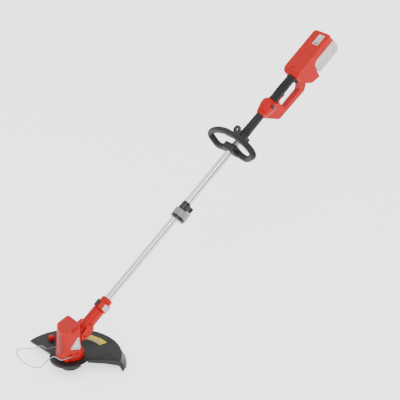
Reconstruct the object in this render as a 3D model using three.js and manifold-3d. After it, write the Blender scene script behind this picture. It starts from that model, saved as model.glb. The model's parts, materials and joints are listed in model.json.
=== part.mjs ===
// A cordless string trimmer with a telescopic shaft, built as separate pieces in millimetres.
// Frame: +Z up, +X from the cutting head back to the operator, -Y the operator's left side.
// The origin is the lowest point of the spool's tap button, on the spool axis.
// Pieces on the shaft are drawn in the shaft's own frame: X along the shaft, Z out of its top side.
import * as THREE from "three";
import { mergeVertices } from "three/addons/utils/BufferGeometryUtils.js";
import Module from "manifold-3d";

const wasm = await Module();
wasm.setup();

// ---------- driving dimensions ----------
const GAP = 0.3; // clearance between pieces that touch
const WALL = 2.6; // moulded shells
const SHAFT_ANGLE = THREE.MathUtils.degToRad(38); // shaft above the ground
const SHAFT_FOOT_Z = 87; // where the shaft axis would cross the spool axis

// tubes
const UPPER_TUBE_R = 14;
const TUBE_WALL = 1.2;
const LOWER_TUBE_R = UPPER_TUBE_R - TUBE_WALL - GAP; // slides inside the upper one
const LOWER_TUBE_VISIBLE = 364;
const UPPER_TUBE_VISIBLE = 235;
const LOWER_TUBE_INSERTED = 170;

// cutting head
const SPOOL_R = 36;
const SPOOL_FLOOR_Z = 3;
const SPOOL_TOP_Z = 28;
const TAP_R = 15;
const TAP_TOP_Z = 11; // inner end of the button; the reel's bore leaves it 6 mm to rise
const MOTOR_R = 21;
const MOTOR_BOTTOM_Z = 66;
const MOTOR_TOP_Z = 132;
const MOTOR_SHAFT_R = 4;
const BEARING_R = 9;
const DECK_Z = 46; // top of the guard's deck
const DECK_T = 2.6;
const DECK_R = 179;
const RIM_R = DECK_R + 15;
const HUB_R = 70;
const HUB_SKIRT_Z = 36;
const GUARD_FROM = -46; // degrees about the spool axis, from straight back
const GUARD_TO = 108;
const RIM_Z_LEFT = 36;
const RIM_Z_RIGHT = 12;
const FIN_TIP_Z = 2;

const HOUSING_HALF = 38;
const HOUSING_NOSE = -48; // the bowed front's foremost line, at the deck
const HOUSING_BOW = 15; // how far the front's middle stands before its corners
const HOUSING_LEAN = 0.1; // the front leans back by this much of its height
const HOUSING_REAR = 31;
const ROOF_FRONT_Z = 160;
const ROOF_REAR_Z = 187;
const BASE_R = 45;
const BASE_TOP_Z = 72;
const BASE_CENTRE_X = 5;

const WIRE_R = 1.6;
const WIRE_PIVOT = new THREE.Vector3(-14, 44, 69);

// neck, collar and the shaft's stations
const TILT_S = 56; // tilt pivot, along the shaft
const DRUM_R = 20;
const DRUM_HALF = 21;
const EAR_T = 5;
const CHEEK_R = 14; // the neck's cheeks, outside the housing's ears
const CHEEK_T = 4;
const TILT_PIN_R = 3;
const NECK_R = 22;
const NECK_TOP_S = 159;
const SPIGOT_R = LOWER_TUBE_R + 2.5;
const SPIGOT_L = 13;
const COLLAR_R = 27;
const COLLAR_BAND_L = 28;
const COLLAR_CAP_R = 20.5;
const COLLAR_CAP_L = 19;
const SWIVEL_HALF = 8;

// telescopic lock
const LOCK_RING_L = 11;
const LOCK_LEVER_L = 25;
const LOCK_SLEEVE_L = 34;
const LOCK_CORE_R = UPPER_TUBE_R + 5.4;
const LOCK_SLEEVE_R = UPPER_TUBE_R + 3;
const LOCK_RING_R = LOCK_CORE_R + 8.1;
const LOCK_OUTER_R = LOCK_RING_R + 1.5;
const LOCK_OFFSET = 7; // the lever's ring sits off the shaft's axis
const LOCK_TURN = THREE.MathUtils.degToRad(46); // where the lock's ears point
const LOCK_PIN_R = 2;
const LOCK_BOLT_R = 2.6;

// front handle and strap eye
const LOOP_R = 12;
const LOOP_WIDTH = 119;
const LOOP_TILT = THREE.MathUtils.degToRad(30);
const CLAMP_HALF_S = 13;
const CLAMP_R = UPPER_TUBE_R + 10;
const CLAMP_SCREW_R = 2.5;
const STRAP_CLAMP_L = 20;
const STRAP_CLAMP_R = UPPER_TUBE_R + 4.5;
const EYE_R = 15;
const EYE_HOLE_R = 5.5;
const EYE_H = 42;
const SLEEVE_L = 88;
const SLEEVE_R = UPPER_TUBE_R + 3.5;
const SLEEVE_TOP_R = UPPER_TUBE_R + 1.4;

// rear handle and battery
const COLLAR2_L = 69;
const COLLAR2_R = 30;
const GRIP_L = 113;
const GRIP_R = 16.3;
const GRIP_CORE_R = 12;
const BAR_HALF = 13;
const BUTTON_TRAVEL = 3; // of the lock-off button
const HOUSE_L = 198;
const HOUSE_HALF = 41;
const HOUSE_CORNER_R = 15; // the rear corners, seen from above
const HOUSE_TOP_H = 27;
const HOUSE_SPLIT_H = -4;
const BATTERY_L = 117;
const BATTERY_HALF = 39;
const BATTERY_BOTTOM_H = -55;
const CELL_R = 9;

// ---------- stations along the shaft, each from the one before ----------
const COLLAR_S = NECK_TOP_S + GAP;
const COLLAR_BAND_TOP_S = COLLAR_S + COLLAR_BAND_L;
const COLLAR_TOP_S = COLLAR_BAND_TOP_S + COLLAR_CAP_L;
const LOWER_TUBE_S = COLLAR_S + SPIGOT_L + GAP;
const LOCK_S = COLLAR_TOP_S + LOWER_TUBE_VISIBLE;
const LOCK_LEVER_S = LOCK_S + LOCK_RING_L;
const LOCK_SLEEVE_S = LOCK_LEVER_S + LOCK_LEVER_L;
const LOCK_TOP_S = LOCK_SLEEVE_S + LOCK_SLEEVE_L;
const UPPER_TUBE_S = LOCK_LEVER_S + 8;
const LOWER_TUBE_END_S = LOCK_S + LOWER_TUBE_INSERTED + LOCK_LEVER_L;
const CLAMP_S = LOCK_TOP_S + UPPER_TUBE_VISIBLE + CLAMP_HALF_S; // middle of the front handle's clamp
const STRAP_S = CLAMP_S + CLAMP_HALF_S + 48; // middle of the strap clamp
const SLEEVE_S = STRAP_S + STRAP_CLAMP_L / 2 + GAP;
const COLLAR2_S = SLEEVE_S + SLEEVE_L + GAP;
const GRIP_S = COLLAR2_S + COLLAR2_L;
const HOUSE_S = GRIP_S + GRIP_L;
const HOUSE_END_S = HOUSE_S + HOUSE_L;
const UPPER_TUBE_END_S = COLLAR2_S + COLLAR2_L - 6;
const BATTERY_S = HOUSE_END_S - BATTERY_L;

// ---------- colours ----------
const paint = (color, roughness, metalness = 0) =>
  new THREE.MeshStandardMaterial({ color, roughness, metalness });
const RED = paint(0xd8231c, 0.38);
const BLACK = paint(0x26282a, 0.55);
const RUBBER = paint(0x1f2122, 0.8);
const GREY = paint(0xa9acaf, 0.45);
const PALE = paint(0xd9d8d4, 0.5);
const ALUMINIUM = paint(0xc9cccf, 0.32, 1);
const STEEL = paint(0xb4b8bc, 0.35, 1);
const COPPER = paint(0xb87333, 0.4, 1);
const LINE = paint(0xe4641e, 0.5);
const BOARD = paint(0x1f6b3a, 0.6);

// ---------- solids ----------
const V = (x, y, z) => new THREE.Vector3(x, y, z);

function solid(geometry) {
  const g = geometry.index ? geometry.toNonIndexed() : geometry.clone();
  g.deleteAttribute("normal");
  g.deleteAttribute("uv");
  const merged = mergeVertices(g, 1e-4);
  const triVerts = new Uint32Array(merged.index.array);
  const vertProperties = merged.attributes.position.array;
  const made = new wasm.Manifold(new wasm.Mesh({ numProp: 3, vertProperties, triVerts }));
  if (made.volume() >= 0) return made;
  for (let i = 0; i < triVerts.length; i += 3) {
    [triVerts[i + 1], triVerts[i + 2]] = [triVerts[i + 2], triVerts[i + 1]];
  }
  return new wasm.Manifold(new wasm.Mesh({ numProp: 3, vertProperties, triVerts }));
}

const CORNER_STEP = THREE.MathUtils.degToRad(31); // turn between points on a rounded corner
const join = (first, ...rest) => rest.reduce((sum, s) => sum.add(s), first);
const cut = (first, ...rest) => rest.reduce((sum, s) => sum.subtract(s), first);

function box(x0, x1, y0, y1, z0, z1) {
  const g = new THREE.BoxGeometry(x1 - x0, y1 - y0, z1 - z0);
  return solid(g.translate((x0 + x1) / 2, (y0 + y1) / 2, (z0 + z1) / 2));
}

// A round bar between two points, with its own radius at each end.
function rod(from, to, r, r2 = r, sides = 20) {
  const axis = to.clone().sub(from);
  const g = new THREE.CylinderGeometry(r2, r, axis.length(), sides);
  const turn = new THREE.Quaternion().setFromUnitVectors(V(0, 1, 0), axis.normalize());
  const middle = from.clone().add(to).multiplyScalar(0.5);
  return solid(g.applyQuaternion(turn).translate(middle.x, middle.y, middle.z));
}

// A turned piece about the Z axis, or about X when along is "x": its profile is [radius, height] pairs.
function turned(profile, sides = 28, along = "z") {
  const points = profile.map(([r, t]) => new THREE.Vector2(r, t));
  const closed = profile[0][0] > 0 ? [...points, points[0]] : points;
  const g = new THREE.LatheGeometry(closed, sides).rotateX(Math.PI / 2);
  return solid(along === "x" ? g.rotateY(Math.PI / 2) : g);
}

// An outline whose corners are rounded: each point is [a, b, radius of its corner].
function rounded(points) {
  const shape = new THREE.Shape();
  const at = (i) => new THREE.Vector2(...points[(i + points.length) % points.length]);
  points.forEach(([, , r = 0], i) => {
    const here = at(i);
    const back = at(i - 1).sub(here).normalize();
    const ahead = at(i + 1).sub(here).normalize();
    const half = Math.acos(THREE.MathUtils.clamp(back.dot(ahead), -1, 1)) / 2;
    const centre = back.clone().add(ahead).setLength(r / Math.sin(half)).add(here);
    const start = here.clone().addScaledVector(back, r / Math.tan(half)).sub(centre);
    const turn = (Math.PI - 2 * half) * Math.sign(ahead.cross(back));
    const steps = r > 0 ? Math.max(1, Math.ceil(Math.abs(turn) / CORNER_STEP)) : 0;
    for (let k = 0; k <= steps; k += 1) {
      const swing = steps > 0 ? (turn * k) / steps : 0;
      const p = r > 0 ? start.clone().rotateAround(new THREE.Vector2(), swing).add(centre) : here;
      if (i === 0 && k === 0) shape.moveTo(p.x, p.y);
      else shape.lineTo(p.x, p.y);
    }
  });
  shape.closePath();
  return shape;
}

// An outline in the XZ plane, thickened along Y to y0..y1, with its edges rounded by soft.
function prism(shape, y0, y1, soft = 0, curveSegments = 4) {
  const g = new THREE.ExtrudeGeometry(shape, {
    depth: y1 - y0 - 2 * soft,
    bevelEnabled: soft > 0,
    bevelThickness: soft,
    bevelSize: soft,
    bevelOffset: -soft,
    bevelSegments: 2,
    curveSegments,
  });
  g.rotateX(Math.PI / 2);
  return solid(g.translate(0, y1 - soft, 0));
}

// An outline in the XY plane, thickened along Z.
function plate(shape, z0, z1, curveSegments = 24) {
  const g = new THREE.ExtrudeGeometry(shape, { depth: z1 - z0, bevelEnabled: false, curveSegments });
  return solid(g.translate(0, 0, z0));
}

// A bar of round section along a smooth or a cornered path.
function swept(path, r, steps, sides = 10, flat = 1) {
  const section = new THREE.Shape();
  for (let i = 0; i < sides; i += 1) {
    const a = (2 * Math.PI * i) / sides;
    if (i === 0) section.moveTo(r * flat, 0);
    else section.lineTo(r * flat * Math.cos(a), r * Math.sin(a));
  }
  section.closePath();
  return solid(new THREE.ExtrudeGeometry(section, { steps, extrudePath: path, bevelEnabled: false }));
}

// A path with straight runs between points and short curves at the corners.
function cornered(points, r) {
  const path = new THREE.CurvePath();
  let last = points[0];
  points.slice(1, -1).forEach((p, i) => {
    const into = p.clone().add(points[i].clone().sub(p).setLength(r));
    const out = p.clone().add(points[i + 2].clone().sub(p).setLength(r));
    path.add(new THREE.LineCurve3(last, into));
    path.add(new THREE.QuadraticBezierCurve3(into, p, out));
    last = out;
  });
  path.add(new THREE.LineCurve3(last, points.at(-1)));
  return path;
}

const root = new THREE.Group();
const shaft = new THREE.Group();
shaft.position.z = SHAFT_FOOT_Z;
shaft.rotation.y = -SHAFT_ANGLE;
root.add(shaft);

function add(name, shape, material, group = root) {
  const m = shape.getMesh();
  const n = m.numProp;
  const position = new Float32Array((m.vertProperties.length / n) * 3);
  for (let i = 0; i < position.length / 3; i += 1) {
    position.set(m.vertProperties.subarray(i * n, i * n + 3), i * 3);
  }
  const g = new THREE.BufferGeometry();
  g.setAttribute("position", new THREE.BufferAttribute(position, 3));
  g.setIndex(new THREE.BufferAttribute(new Uint32Array(m.triVerts), 1));
  g.computeVertexNormals();
  const mesh = new THREE.Mesh(g, material);
  mesh.name = name;
  group.add(mesh);
  return mesh;
}

// The two halves of a shell that is split along Y = 0.
const FAR = 1e4;
const leftHalf = (s) => s.intersect(box(-FAR, FAR, -FAR, -GAP / 2, -FAR, FAR));
const rightHalf = (s) => s.intersect(box(-FAR, FAR, GAP / 2, FAR, -FAR, FAR));

// ---------- spool, tap button and the motor's shaft ----------
function buildSpool() {
  const inner = SPOOL_R - WALL;
  const hole = TAP_R + GAP;
  const housing = turned([
    [hole, SPOOL_FLOOR_Z],
    [SPOOL_R - 8, SPOOL_FLOOR_Z],
    [SPOOL_R - 2, SPOOL_FLOOR_Z + 3],
    [SPOOL_R, SPOOL_FLOOR_Z + 8],
    [SPOOL_R, SPOOL_TOP_Z - GAP],
    [inner, SPOOL_TOP_Z - GAP],
    [inner, SPOOL_FLOOR_Z + 6],
    [hole, SPOOL_FLOOR_Z + WALL],
  ]);
  const eyeletR = 2.6;
  const eyeletZ = (SPOOL_FLOOR_Z + SPOOL_TOP_Z) / 2 + 2;
  const reach = SPOOL_R + 5;
  const eyeHole = rod(V(-reach, 0, eyeletZ), V(reach, 0, eyeletZ), eyeletR + GAP, undefined, 12);
  add("spool_housing", cut(housing, eyeHole), BLACK);
  [-1, 1].forEach((side, i) => {
    const from = V(side * (inner - 0.5), 0, eyeletZ);
    const to = V(side * (SPOOL_R + 1), 0, eyeletZ);
    const bore = rod(V(side * 10, 0, eyeletZ), V(side * 60, 0, eyeletZ), 1.4, undefined, 8);
    add(`line_eyelet_${i + 1}`, cut(rod(from, to, eyeletR, undefined, 12), bore), STEEL);
  });
  const lid = turned([
    [MOTOR_SHAFT_R + GAP, SPOOL_TOP_Z],
    [SPOOL_R, SPOOL_TOP_Z],
    [SPOOL_R, SPOOL_TOP_Z + 3],
    [10, SPOOL_TOP_Z + 4],
    [10, DECK_Z + 4],
    [MOTOR_SHAFT_R + GAP, DECK_Z + 4],
  ]);
  add("spool_lid", lid, BLACK);
  const reelR = inner - 2;
  const flange = 1.8;
  const low = SPOOL_FLOOR_Z + 8;
  const high = SPOOL_TOP_Z - 2;
  const core = TAP_R + 5;
  const reel = turned([
    [core - WALL, low],
    [reelR, low],
    [reelR, low + flange],
    [core, low + flange],
    [core, high - flange],
    [reelR, high - flange],
    [reelR, high],
    [core - WALL, high],
  ]);
  add("line_reel", reel, PALE);
  const winding = turned(
    [
      [core + GAP, low + flange + GAP],
      [reelR - 3, low + flange + GAP],
      [reelR - 2, (low + high) / 2],
      [reelR - 3, high - flange - GAP],
      [core + GAP, high - flange - GAP],
    ],
    24,
  );
  add("line_winding", winding, LINE);
  const stem = core - WALL - GAP;
  const lipZ = SPOOL_FLOOR_Z + WALL + 3 * GAP; // the lip that keeps the button in
  const tap = turned([
    [0, 0],
    [TAP_R - 5, 0],
    [TAP_R - 1, 1.2],
    [TAP_R, 3.5],
    [TAP_R, lipZ],
    [stem, lipZ],
    [stem, lipZ + 1.6],
    [TAP_R - 4, lipZ + 2],
    [TAP_R - 4, TAP_TOP_Z],
    [0, TAP_TOP_Z],
  ], 24);
  add("tap_button", tap, BLACK);
  const turns = 4;
  const springWire = 0.7;
  const springTop = SPOOL_TOP_Z - springWire - GAP;
  const springLow = TAP_TOP_Z + springWire + GAP;
  class Helix extends THREE.Curve {
    getPoint(t) {
      const a = 2 * Math.PI * turns * t;
      return V(8 * Math.cos(a), 8 * Math.sin(a), springLow + (springTop - springLow) * t);
    }
  }
  add("tap_spring", swept(new Helix(), springWire, turns * 8, 4), STEEL);
  const shaftRod = rod(V(0, 0, SPOOL_TOP_Z + 1), V(0, 0, MOTOR_TOP_Z + 4), MOTOR_SHAFT_R, undefined, 16);
  add("motor_shaft", shaftRod, STEEL);
}

// ---------- motor ----------
function buildMotor() {
  const inner = MOTOR_R - 2;
  const can = turned([
    [MOTOR_SHAFT_R + 4, MOTOR_BOTTOM_Z],
    [MOTOR_R, MOTOR_BOTTOM_Z],
    [MOTOR_R, MOTOR_TOP_Z - 3],
    [MOTOR_R - 3, MOTOR_TOP_Z],
    [BEARING_R + GAP, MOTOR_TOP_Z],
    [BEARING_R + GAP, MOTOR_TOP_Z - 2.5],
    [inner, MOTOR_TOP_Z - 4],
    [inner, MOTOR_BOTTOM_Z + 2.5],
    [MOTOR_SHAFT_R + 4, MOTOR_BOTTOM_Z + 2.5],
  ], 24);
  add("motor_can", can, STEEL);
  const rotor = turned([
    [MOTOR_SHAFT_R + GAP, MOTOR_BOTTOM_Z + 8],
    [inner - 3, MOTOR_BOTTOM_Z + 8],
    [inner - 3, MOTOR_TOP_Z - 14],
    [MOTOR_SHAFT_R + GAP, MOTOR_TOP_Z - 14],
  ], 24);
  add("motor_rotor", rotor, COPPER);
  const ring = (z0, z1) =>
    turned([
      [MOTOR_SHAFT_R + GAP, z0],
      [BEARING_R, z0],
      [BEARING_R, z1],
      [MOTOR_SHAFT_R + GAP, z1],
    ], 24);
  add("upper_bearing", ring(MOTOR_TOP_Z - 4, MOTOR_TOP_Z + 1), STEEL);
  add("lower_bearing", ring(DECK_Z + 8, DECK_Z + 14), STEEL);
}

// ---------- motor housing, in two shells ----------
const pivotX = TILT_S * Math.cos(SHAFT_ANGLE);
const pivotZ = SHAFT_FOOT_Z + TILT_S * Math.sin(SHAFT_ANGLE);

const roofX = HOUSING_NOSE + HOUSING_LEAN * (ROOF_FRONT_Z - DECK_Z);
const roofSlope = (ROOF_REAR_Z - ROOF_FRONT_Z) / (HOUSING_REAR - roofX);

// The housing's body: a side outline with a sloping roof, kept within a bowed, leaning front and
// cut rear corners.
function housingBody(inset, soft) {
  const i = inset;
  const outline = rounded([
    [HOUSING_NOSE - 2 + i, DECK_Z + GAP + 2 + i, 12],
    [roofX - 2 + i, ROOF_FRONT_Z - 2 * roofSlope - i, 9],
    [HOUSING_REAR - i, ROOF_REAR_Z - i, 12],
    [HOUSING_REAR - i, DECK_Z + GAP + 2 + i],
  ]);
  const half = HOUSING_HALF - i;
  const bowR = (HOUSING_HALF ** 2 + HOUSING_BOW ** 2) / (2 * HOUSING_BOW);
  const turn = Math.asin(half / (bowR - i));
  const front = new THREE.Shape();
  front.moveTo(HOUSING_REAR + 5, -half);
  front.lineTo(HOUSING_REAR + 5, half);
  front.absarc(HOUSING_NOSE + bowR, 0, bowR - i, Math.PI - turn, Math.PI + turn, false);
  const lean = new THREE.Matrix4().makeShear(0, 0, 0, 0, HOUSING_LEAN, 0);
  const bowed = new THREE.ExtrudeGeometry(front, { depth: 200, bevelEnabled: false, curveSegments: 14 });
  const cornered = rounded([
    [HOUSING_NOSE - 20, -half],
    [HOUSING_REAR - 9, -half],
    [HOUSING_REAR - i, -half + 14],
    [HOUSING_REAR - i, half - 14],
    [HOUSING_REAR - 9, half],
    [HOUSING_NOSE - 20, half],
  ]);
  const leaning = solid(bowed.applyMatrix4(lean)).translate([-HOUSING_LEAN * DECK_Z, 0, 0]);
  return prism(outline, -half, half, soft).intersect(leaning).intersect(plate(cornered, 0, 200));
}

function buildHousing() {
  const baseZ = DECK_Z + GAP;
  const body = housingBody(0, 6);
  const base = (r, z0, z1, soft) => {
    const s = turned([
      [0, z0],
      [r, z0],
      [r, z1 - soft],
      [r - soft * 0.3, z1 - soft * 0.3],
      [r - soft, z1],
      [0, z1],
    ], 28);
    return s.translate([BASE_CENTRE_X, 0, 0]);
  };
  const ears = [-1, 1].map((side) => {
    const y0 = side * (DRUM_HALF + GAP);
    const y1 = side * (DRUM_HALF + GAP + EAR_T);
    const boss = rod(V(pivotX, y0, pivotZ), V(pivotX, y1, pivotZ), 13);
    const web = box(HOUSING_REAR - 8, pivotX, Math.min(y0, y1), Math.max(y0, y1), pivotZ - 13, pivotZ + 13);
    return join(boss, web);
  });
  const outer = join(body, base(BASE_R, baseZ, BASE_TOP_Z, 6), ...ears);
  const hollow = join(
    housingBody(WALL, 4),
    base(BASE_R - WALL, baseZ + WALL, BASE_TOP_Z - WALL, 5),
  );
  const socket = rod(
    V(pivotX, -DRUM_HALF - GAP, pivotZ),
    V(pivotX, DRUM_HALF + GAP, pivotZ),
    DRUM_R + 1,
  );
  const seat = join(
    rod(V(0, 0, DECK_Z + 2), V(0, 0, DECK_Z + 16), 13, undefined, 24),
    rod(V(0, 0, MOTOR_TOP_Z - 12), V(0, 0, MOTOR_TOP_Z - 8), HOUSING_HALF - WALL + 1, undefined, 4),
  );
  const upright = (z0, z1, r) => rod(V(0, 0, z0), V(0, 0, z1), r, undefined, 24);
  const motorSpace = upright(MOTOR_BOTTOM_Z - 2, MOTOR_TOP_Z + 8, MOTOR_R + GAP);
  const bearingSpace = upright(DECK_Z + 8 - GAP, DECK_Z + 14 + GAP, BEARING_R + GAP);
  const shaftSpace = upright(DECK_Z - 5, MOTOR_TOP_Z, 11);
  const pin = rod(V(pivotX, -60, pivotZ), V(pivotX, 60, pivotZ), TILT_PIN_R + GAP, undefined, 16);
  const wireHole = rod(
    V(WIRE_PIVOT.x, -60, WIRE_PIVOT.z),
    V(WIRE_PIVOT.x, 60, WIRE_PIVOT.z),
    WIRE_R + GAP,
    undefined,
    12,
  );
  const vent = (drop) => {
    const x0 = -12;
    const x1 = 22;
    const z = (x) => ROOF_FRONT_Z - drop + roofSlope * (x - roofX);
    return [-1, 1].map((side) => {
      const outline = rounded([
        [x0, z(x0) - 1.6],
        [x1, z(x1) - 1.6],
        [x1, z(x1) + 1.6],
        [x0, z(x0) + 1.6],
      ]);
      const inner = HOUSING_HALF - WALL - 6;
      return side < 0 ? prism(outline, -60, -inner) : prism(outline, inner, 60);
    });
  };
  let shell = cut(outer, hollow);
  shell = join(shell, seat.intersect(outer));
  shell = cut(shell, socket, motorSpace, bearingSpace, shaftSpace, pin, wireHole, ...vent(7), ...vent(16));
  add("motor_housing_left", leftHalf(shell), RED);
  add("motor_housing_right", rightHalf(shell), RED);
  const pinEnd = DRUM_HALF + GAP + EAR_T - 0.5;
  const tiltPin = rod(V(pivotX, -pinEnd, pivotZ), V(pivotX, pinEnd, pivotZ), TILT_PIN_R, undefined, 16);
  add("tilt_pin", tiltPin, STEEL);
}

// ---------- guard ----------
const polar = (r, degrees) => {
  const a = THREE.MathUtils.degToRad(degrees);
  return [r * Math.cos(a), r * Math.sin(a)];
};

function guardOutline(rim, hub) {
  const shape = new THREE.Shape();
  const steps = 20;
  const hubFrom = -60;
  const hubTo = 128 - 360;
  shape.moveTo(...polar(rim, GUARD_FROM));
  for (let i = 1; i <= steps; i += 1) {
    shape.lineTo(...polar(rim, GUARD_FROM + ((GUARD_TO - GUARD_FROM) * i) / steps));
  }
  const hubSteps = 18;
  for (let i = 0; i <= hubSteps; i += 1) {
    shape.lineTo(...polar(hub, hubTo + 360 + ((360 - (hubTo + 360) + hubFrom) * i) / hubSteps));
  }
  shape.closePath();
  return shape;
}

// The flared skirt between two radii, whose lower edge falls from the left end to the right.
function guardSkirt() {
  const steps = 20;
  const t = DECK_T;
  const position = [];
  const index = [];
  const bottom = (f) => RIM_Z_LEFT + (RIM_Z_RIGHT - RIM_Z_LEFT) * Math.min(1, f * 1.6);
  for (let i = 0; i <= steps; i += 1) {
    const f = 1 - i / steps;
    const a = GUARD_FROM + ((GUARD_TO - GUARD_FROM) * i) / steps;
    const low = bottom(f);
    const flare = ((RIM_R - DECK_R) * (DECK_Z - low)) / (DECK_Z - RIM_Z_RIGHT);
    const ring = [
      [DECK_R, DECK_Z],
      [DECK_R + flare, low],
      [DECK_R + flare - t, low],
      [DECK_R - t - 2, DECK_Z - t],
      [DECK_R - t - 2, DECK_Z],
    ];
    ring.forEach(([r, z]) => position.push(...polar(r, a), z));
  }
  const n = 5;
  for (let i = 0; i < steps; i += 1) {
    for (let j = 0; j < n; j += 1) {
      const a = i * n + j;
      const b = i * n + ((j + 1) % n);
      index.push(a, b, a + n, b, b + n, a + n);
    }
  }
  for (let j = 1; j < n - 1; j += 1) {
    index.push(0, j + 1, j);
    const e = steps * n;
    index.push(e, e + j, e + j + 1);
  }
  const g = new THREE.BufferGeometry();
  g.setAttribute("position", new THREE.Float32BufferAttribute(position, 3));
  g.setIndex(index);
  return solid(g);
}

const KNOB_AT = polar(124, 89);
const SCREW_R = 2;

function buildGuard() {
  const deck = plate(guardOutline(DECK_R - 1, HUB_R), DECK_Z - DECK_T, DECK_Z);
  const hubRing = turned([
    [HUB_R - DECK_T, HUB_SKIRT_Z],
    [HUB_R, HUB_SKIRT_Z],
    [HUB_R, DECK_Z - 1],
    [HUB_R - DECK_T, DECK_Z - 1],
  ], 32);
  const ringCut = box(0, FAR, -FAR, FAR, -FAR, DECK_Z - DECK_T - 0.01);
  const frontRing = cut(hubRing, ringCut);
  // the end wall under the right edge, from the hub out to the rim, and the fin at its end
  const [ax, ay] = polar(HUB_R - 4, -58);
  const [bx, by] = polar(RIM_R - 3, GUARD_FROM);
  const along = V(bx - ax, by - ay, 0);
  const wallAngle = Math.atan2(along.y, along.x);
  const length = along.length();
  const wallShape = rounded([
    [0, DECK_Z - 1],
    [0, DECK_Z - 12],
    [length * 0.5, 24],
    [length - 16, 12],
    [length - 12, FIN_TIP_Z + 8],
    [length - 5, FIN_TIP_Z],
    [length, FIN_TIP_Z + 10],
    [length - 4, DECK_Z - 14],
    [length - 14, DECK_Z - 1],
  ]);
  const wall = prism(wallShape, -DECK_T / 2, DECK_T / 2)
    .rotate([0, 0, THREE.MathUtils.radToDeg(wallAngle)])
    .translate([ax, ay, 0]);
  // the short lip under the straight left edge
  const [cx, cy] = polar(HUB_R - 2, 128);
  const [dx, dy] = polar(DECK_R - 2, GUARD_TO);
  const lipLength = Math.hypot(dx - cx, dy - cy);
  const lip = box(0, lipLength, -DECK_T, 0, DECK_Z - 9, DECK_Z - 1)
    .rotate([0, 0, THREE.MathUtils.radToDeg(Math.atan2(dy - cy, dx - cx))])
    .translate([cx, cy, 0]);
  const shaftHole = rod(V(0, 0, 0), V(0, 0, 100), 13, undefined, 24);
  const [kx, ky] = KNOB_AT;
  const knobHole = rod(V(kx, ky, 20), V(kx, ky, 80), 3 + GAP, undefined, 12);
  let guard = join(deck, guardSkirt(), frontRing, wall, lip);
  guard = cut(guard, shaftHole, knobHole);
  const screws = [];
  for (const [i, a] of [45, 135, 225, 315].entries()) {
    const [sx, sy] = polar(30, a);
    const at = V(sx + BASE_CENTRE_X, sy, 0);
    guard = cut(guard, rod(at.clone().setZ(20), at.clone().setZ(80), SCREW_R + GAP, undefined, 10));
    const headZ = DECK_Z - DECK_T - GAP;
    const head = rod(at.clone().setZ(headZ - 2.4), at.clone().setZ(headZ), 3.8, undefined, 12);
    const shank = rod(at.clone().setZ(headZ - 0.5), at.clone().setZ(DECK_Z), SCREW_R, undefined, 10);
    screws.push([`guard_screw_${i + 1}`, join(head, shank)]);
  }
  add("guard", guard, BLACK);
  screws.forEach(([name, s]) => add(name, s, STEEL));
  // the blade that trims the line, behind the end wall
  const blade = rounded([
    [length * 0.56, DECK_Z - DECK_T - 5],
    [length * 0.56, 29],
    [length - 24, 18],
    [length - 16, DECK_Z - DECK_T - 8],
  ]);
  const place = (s) =>
    s.rotate([0, 0, THREE.MathUtils.radToDeg(wallAngle)]).translate([ax, ay, 0]);
  add("line_cutter", place(prism(blade, DECK_T / 2 + GAP, DECK_T / 2 + GAP + 1.5)), STEEL);
  [0.66, 0.8].forEach((f, i) => {
    const y = DECK_T / 2 + GAP * 2 + 1.5;
    const head = rod(V(length * f, y, 31), V(length * f, y + 2, 31), 3, undefined, 12);
    add(`cutter_screw_${i + 1}`, place(head), STEEL);
  });
  const knobZ = DECK_Z + GAP;
  const knob = turned([
    [0, knobZ - 9],
    [3, knobZ - 9],
    [3, knobZ],
    [8, knobZ],
    [10, knobZ + 4],
    [10, knobZ + 14],
    [7.5, knobZ + 19],
    [0, knobZ + 20.5],
  ], 24).translate([kx, ky, 0]);
  add("guard_knob", knob, RED);
}

// ---------- wire plant guard ----------
function buildWire() {
  const { x, y, z } = WIRE_PIVOT;
  const side = (k) => [
    V(x, k * (y - 9), z),
    V(x, k * y, z),
    V(-62, k * 45, 73),
    V(-85, k * 43, 98),
    V(-103, k * 42, 95),
    V(-161, k * 73, 95),
  ];
  const [p0, p1, p2, p3, p4, p5] = side(-1);
  const [q0, q1, q2, q3, q4, q5] = side(1);
  const front = V(-186, 0, 95);
  const nose = [V(-182, -36, 95), front, V(-182, 36, 95)];
  const path = cornered([p0, p1, p2, p3, p4, p5, ...nose, q5, q4, q3, q2, q1, q0], 5);
  add("wire_guard", swept(path, WIRE_R, 72, 5), STEEL);
}

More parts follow.
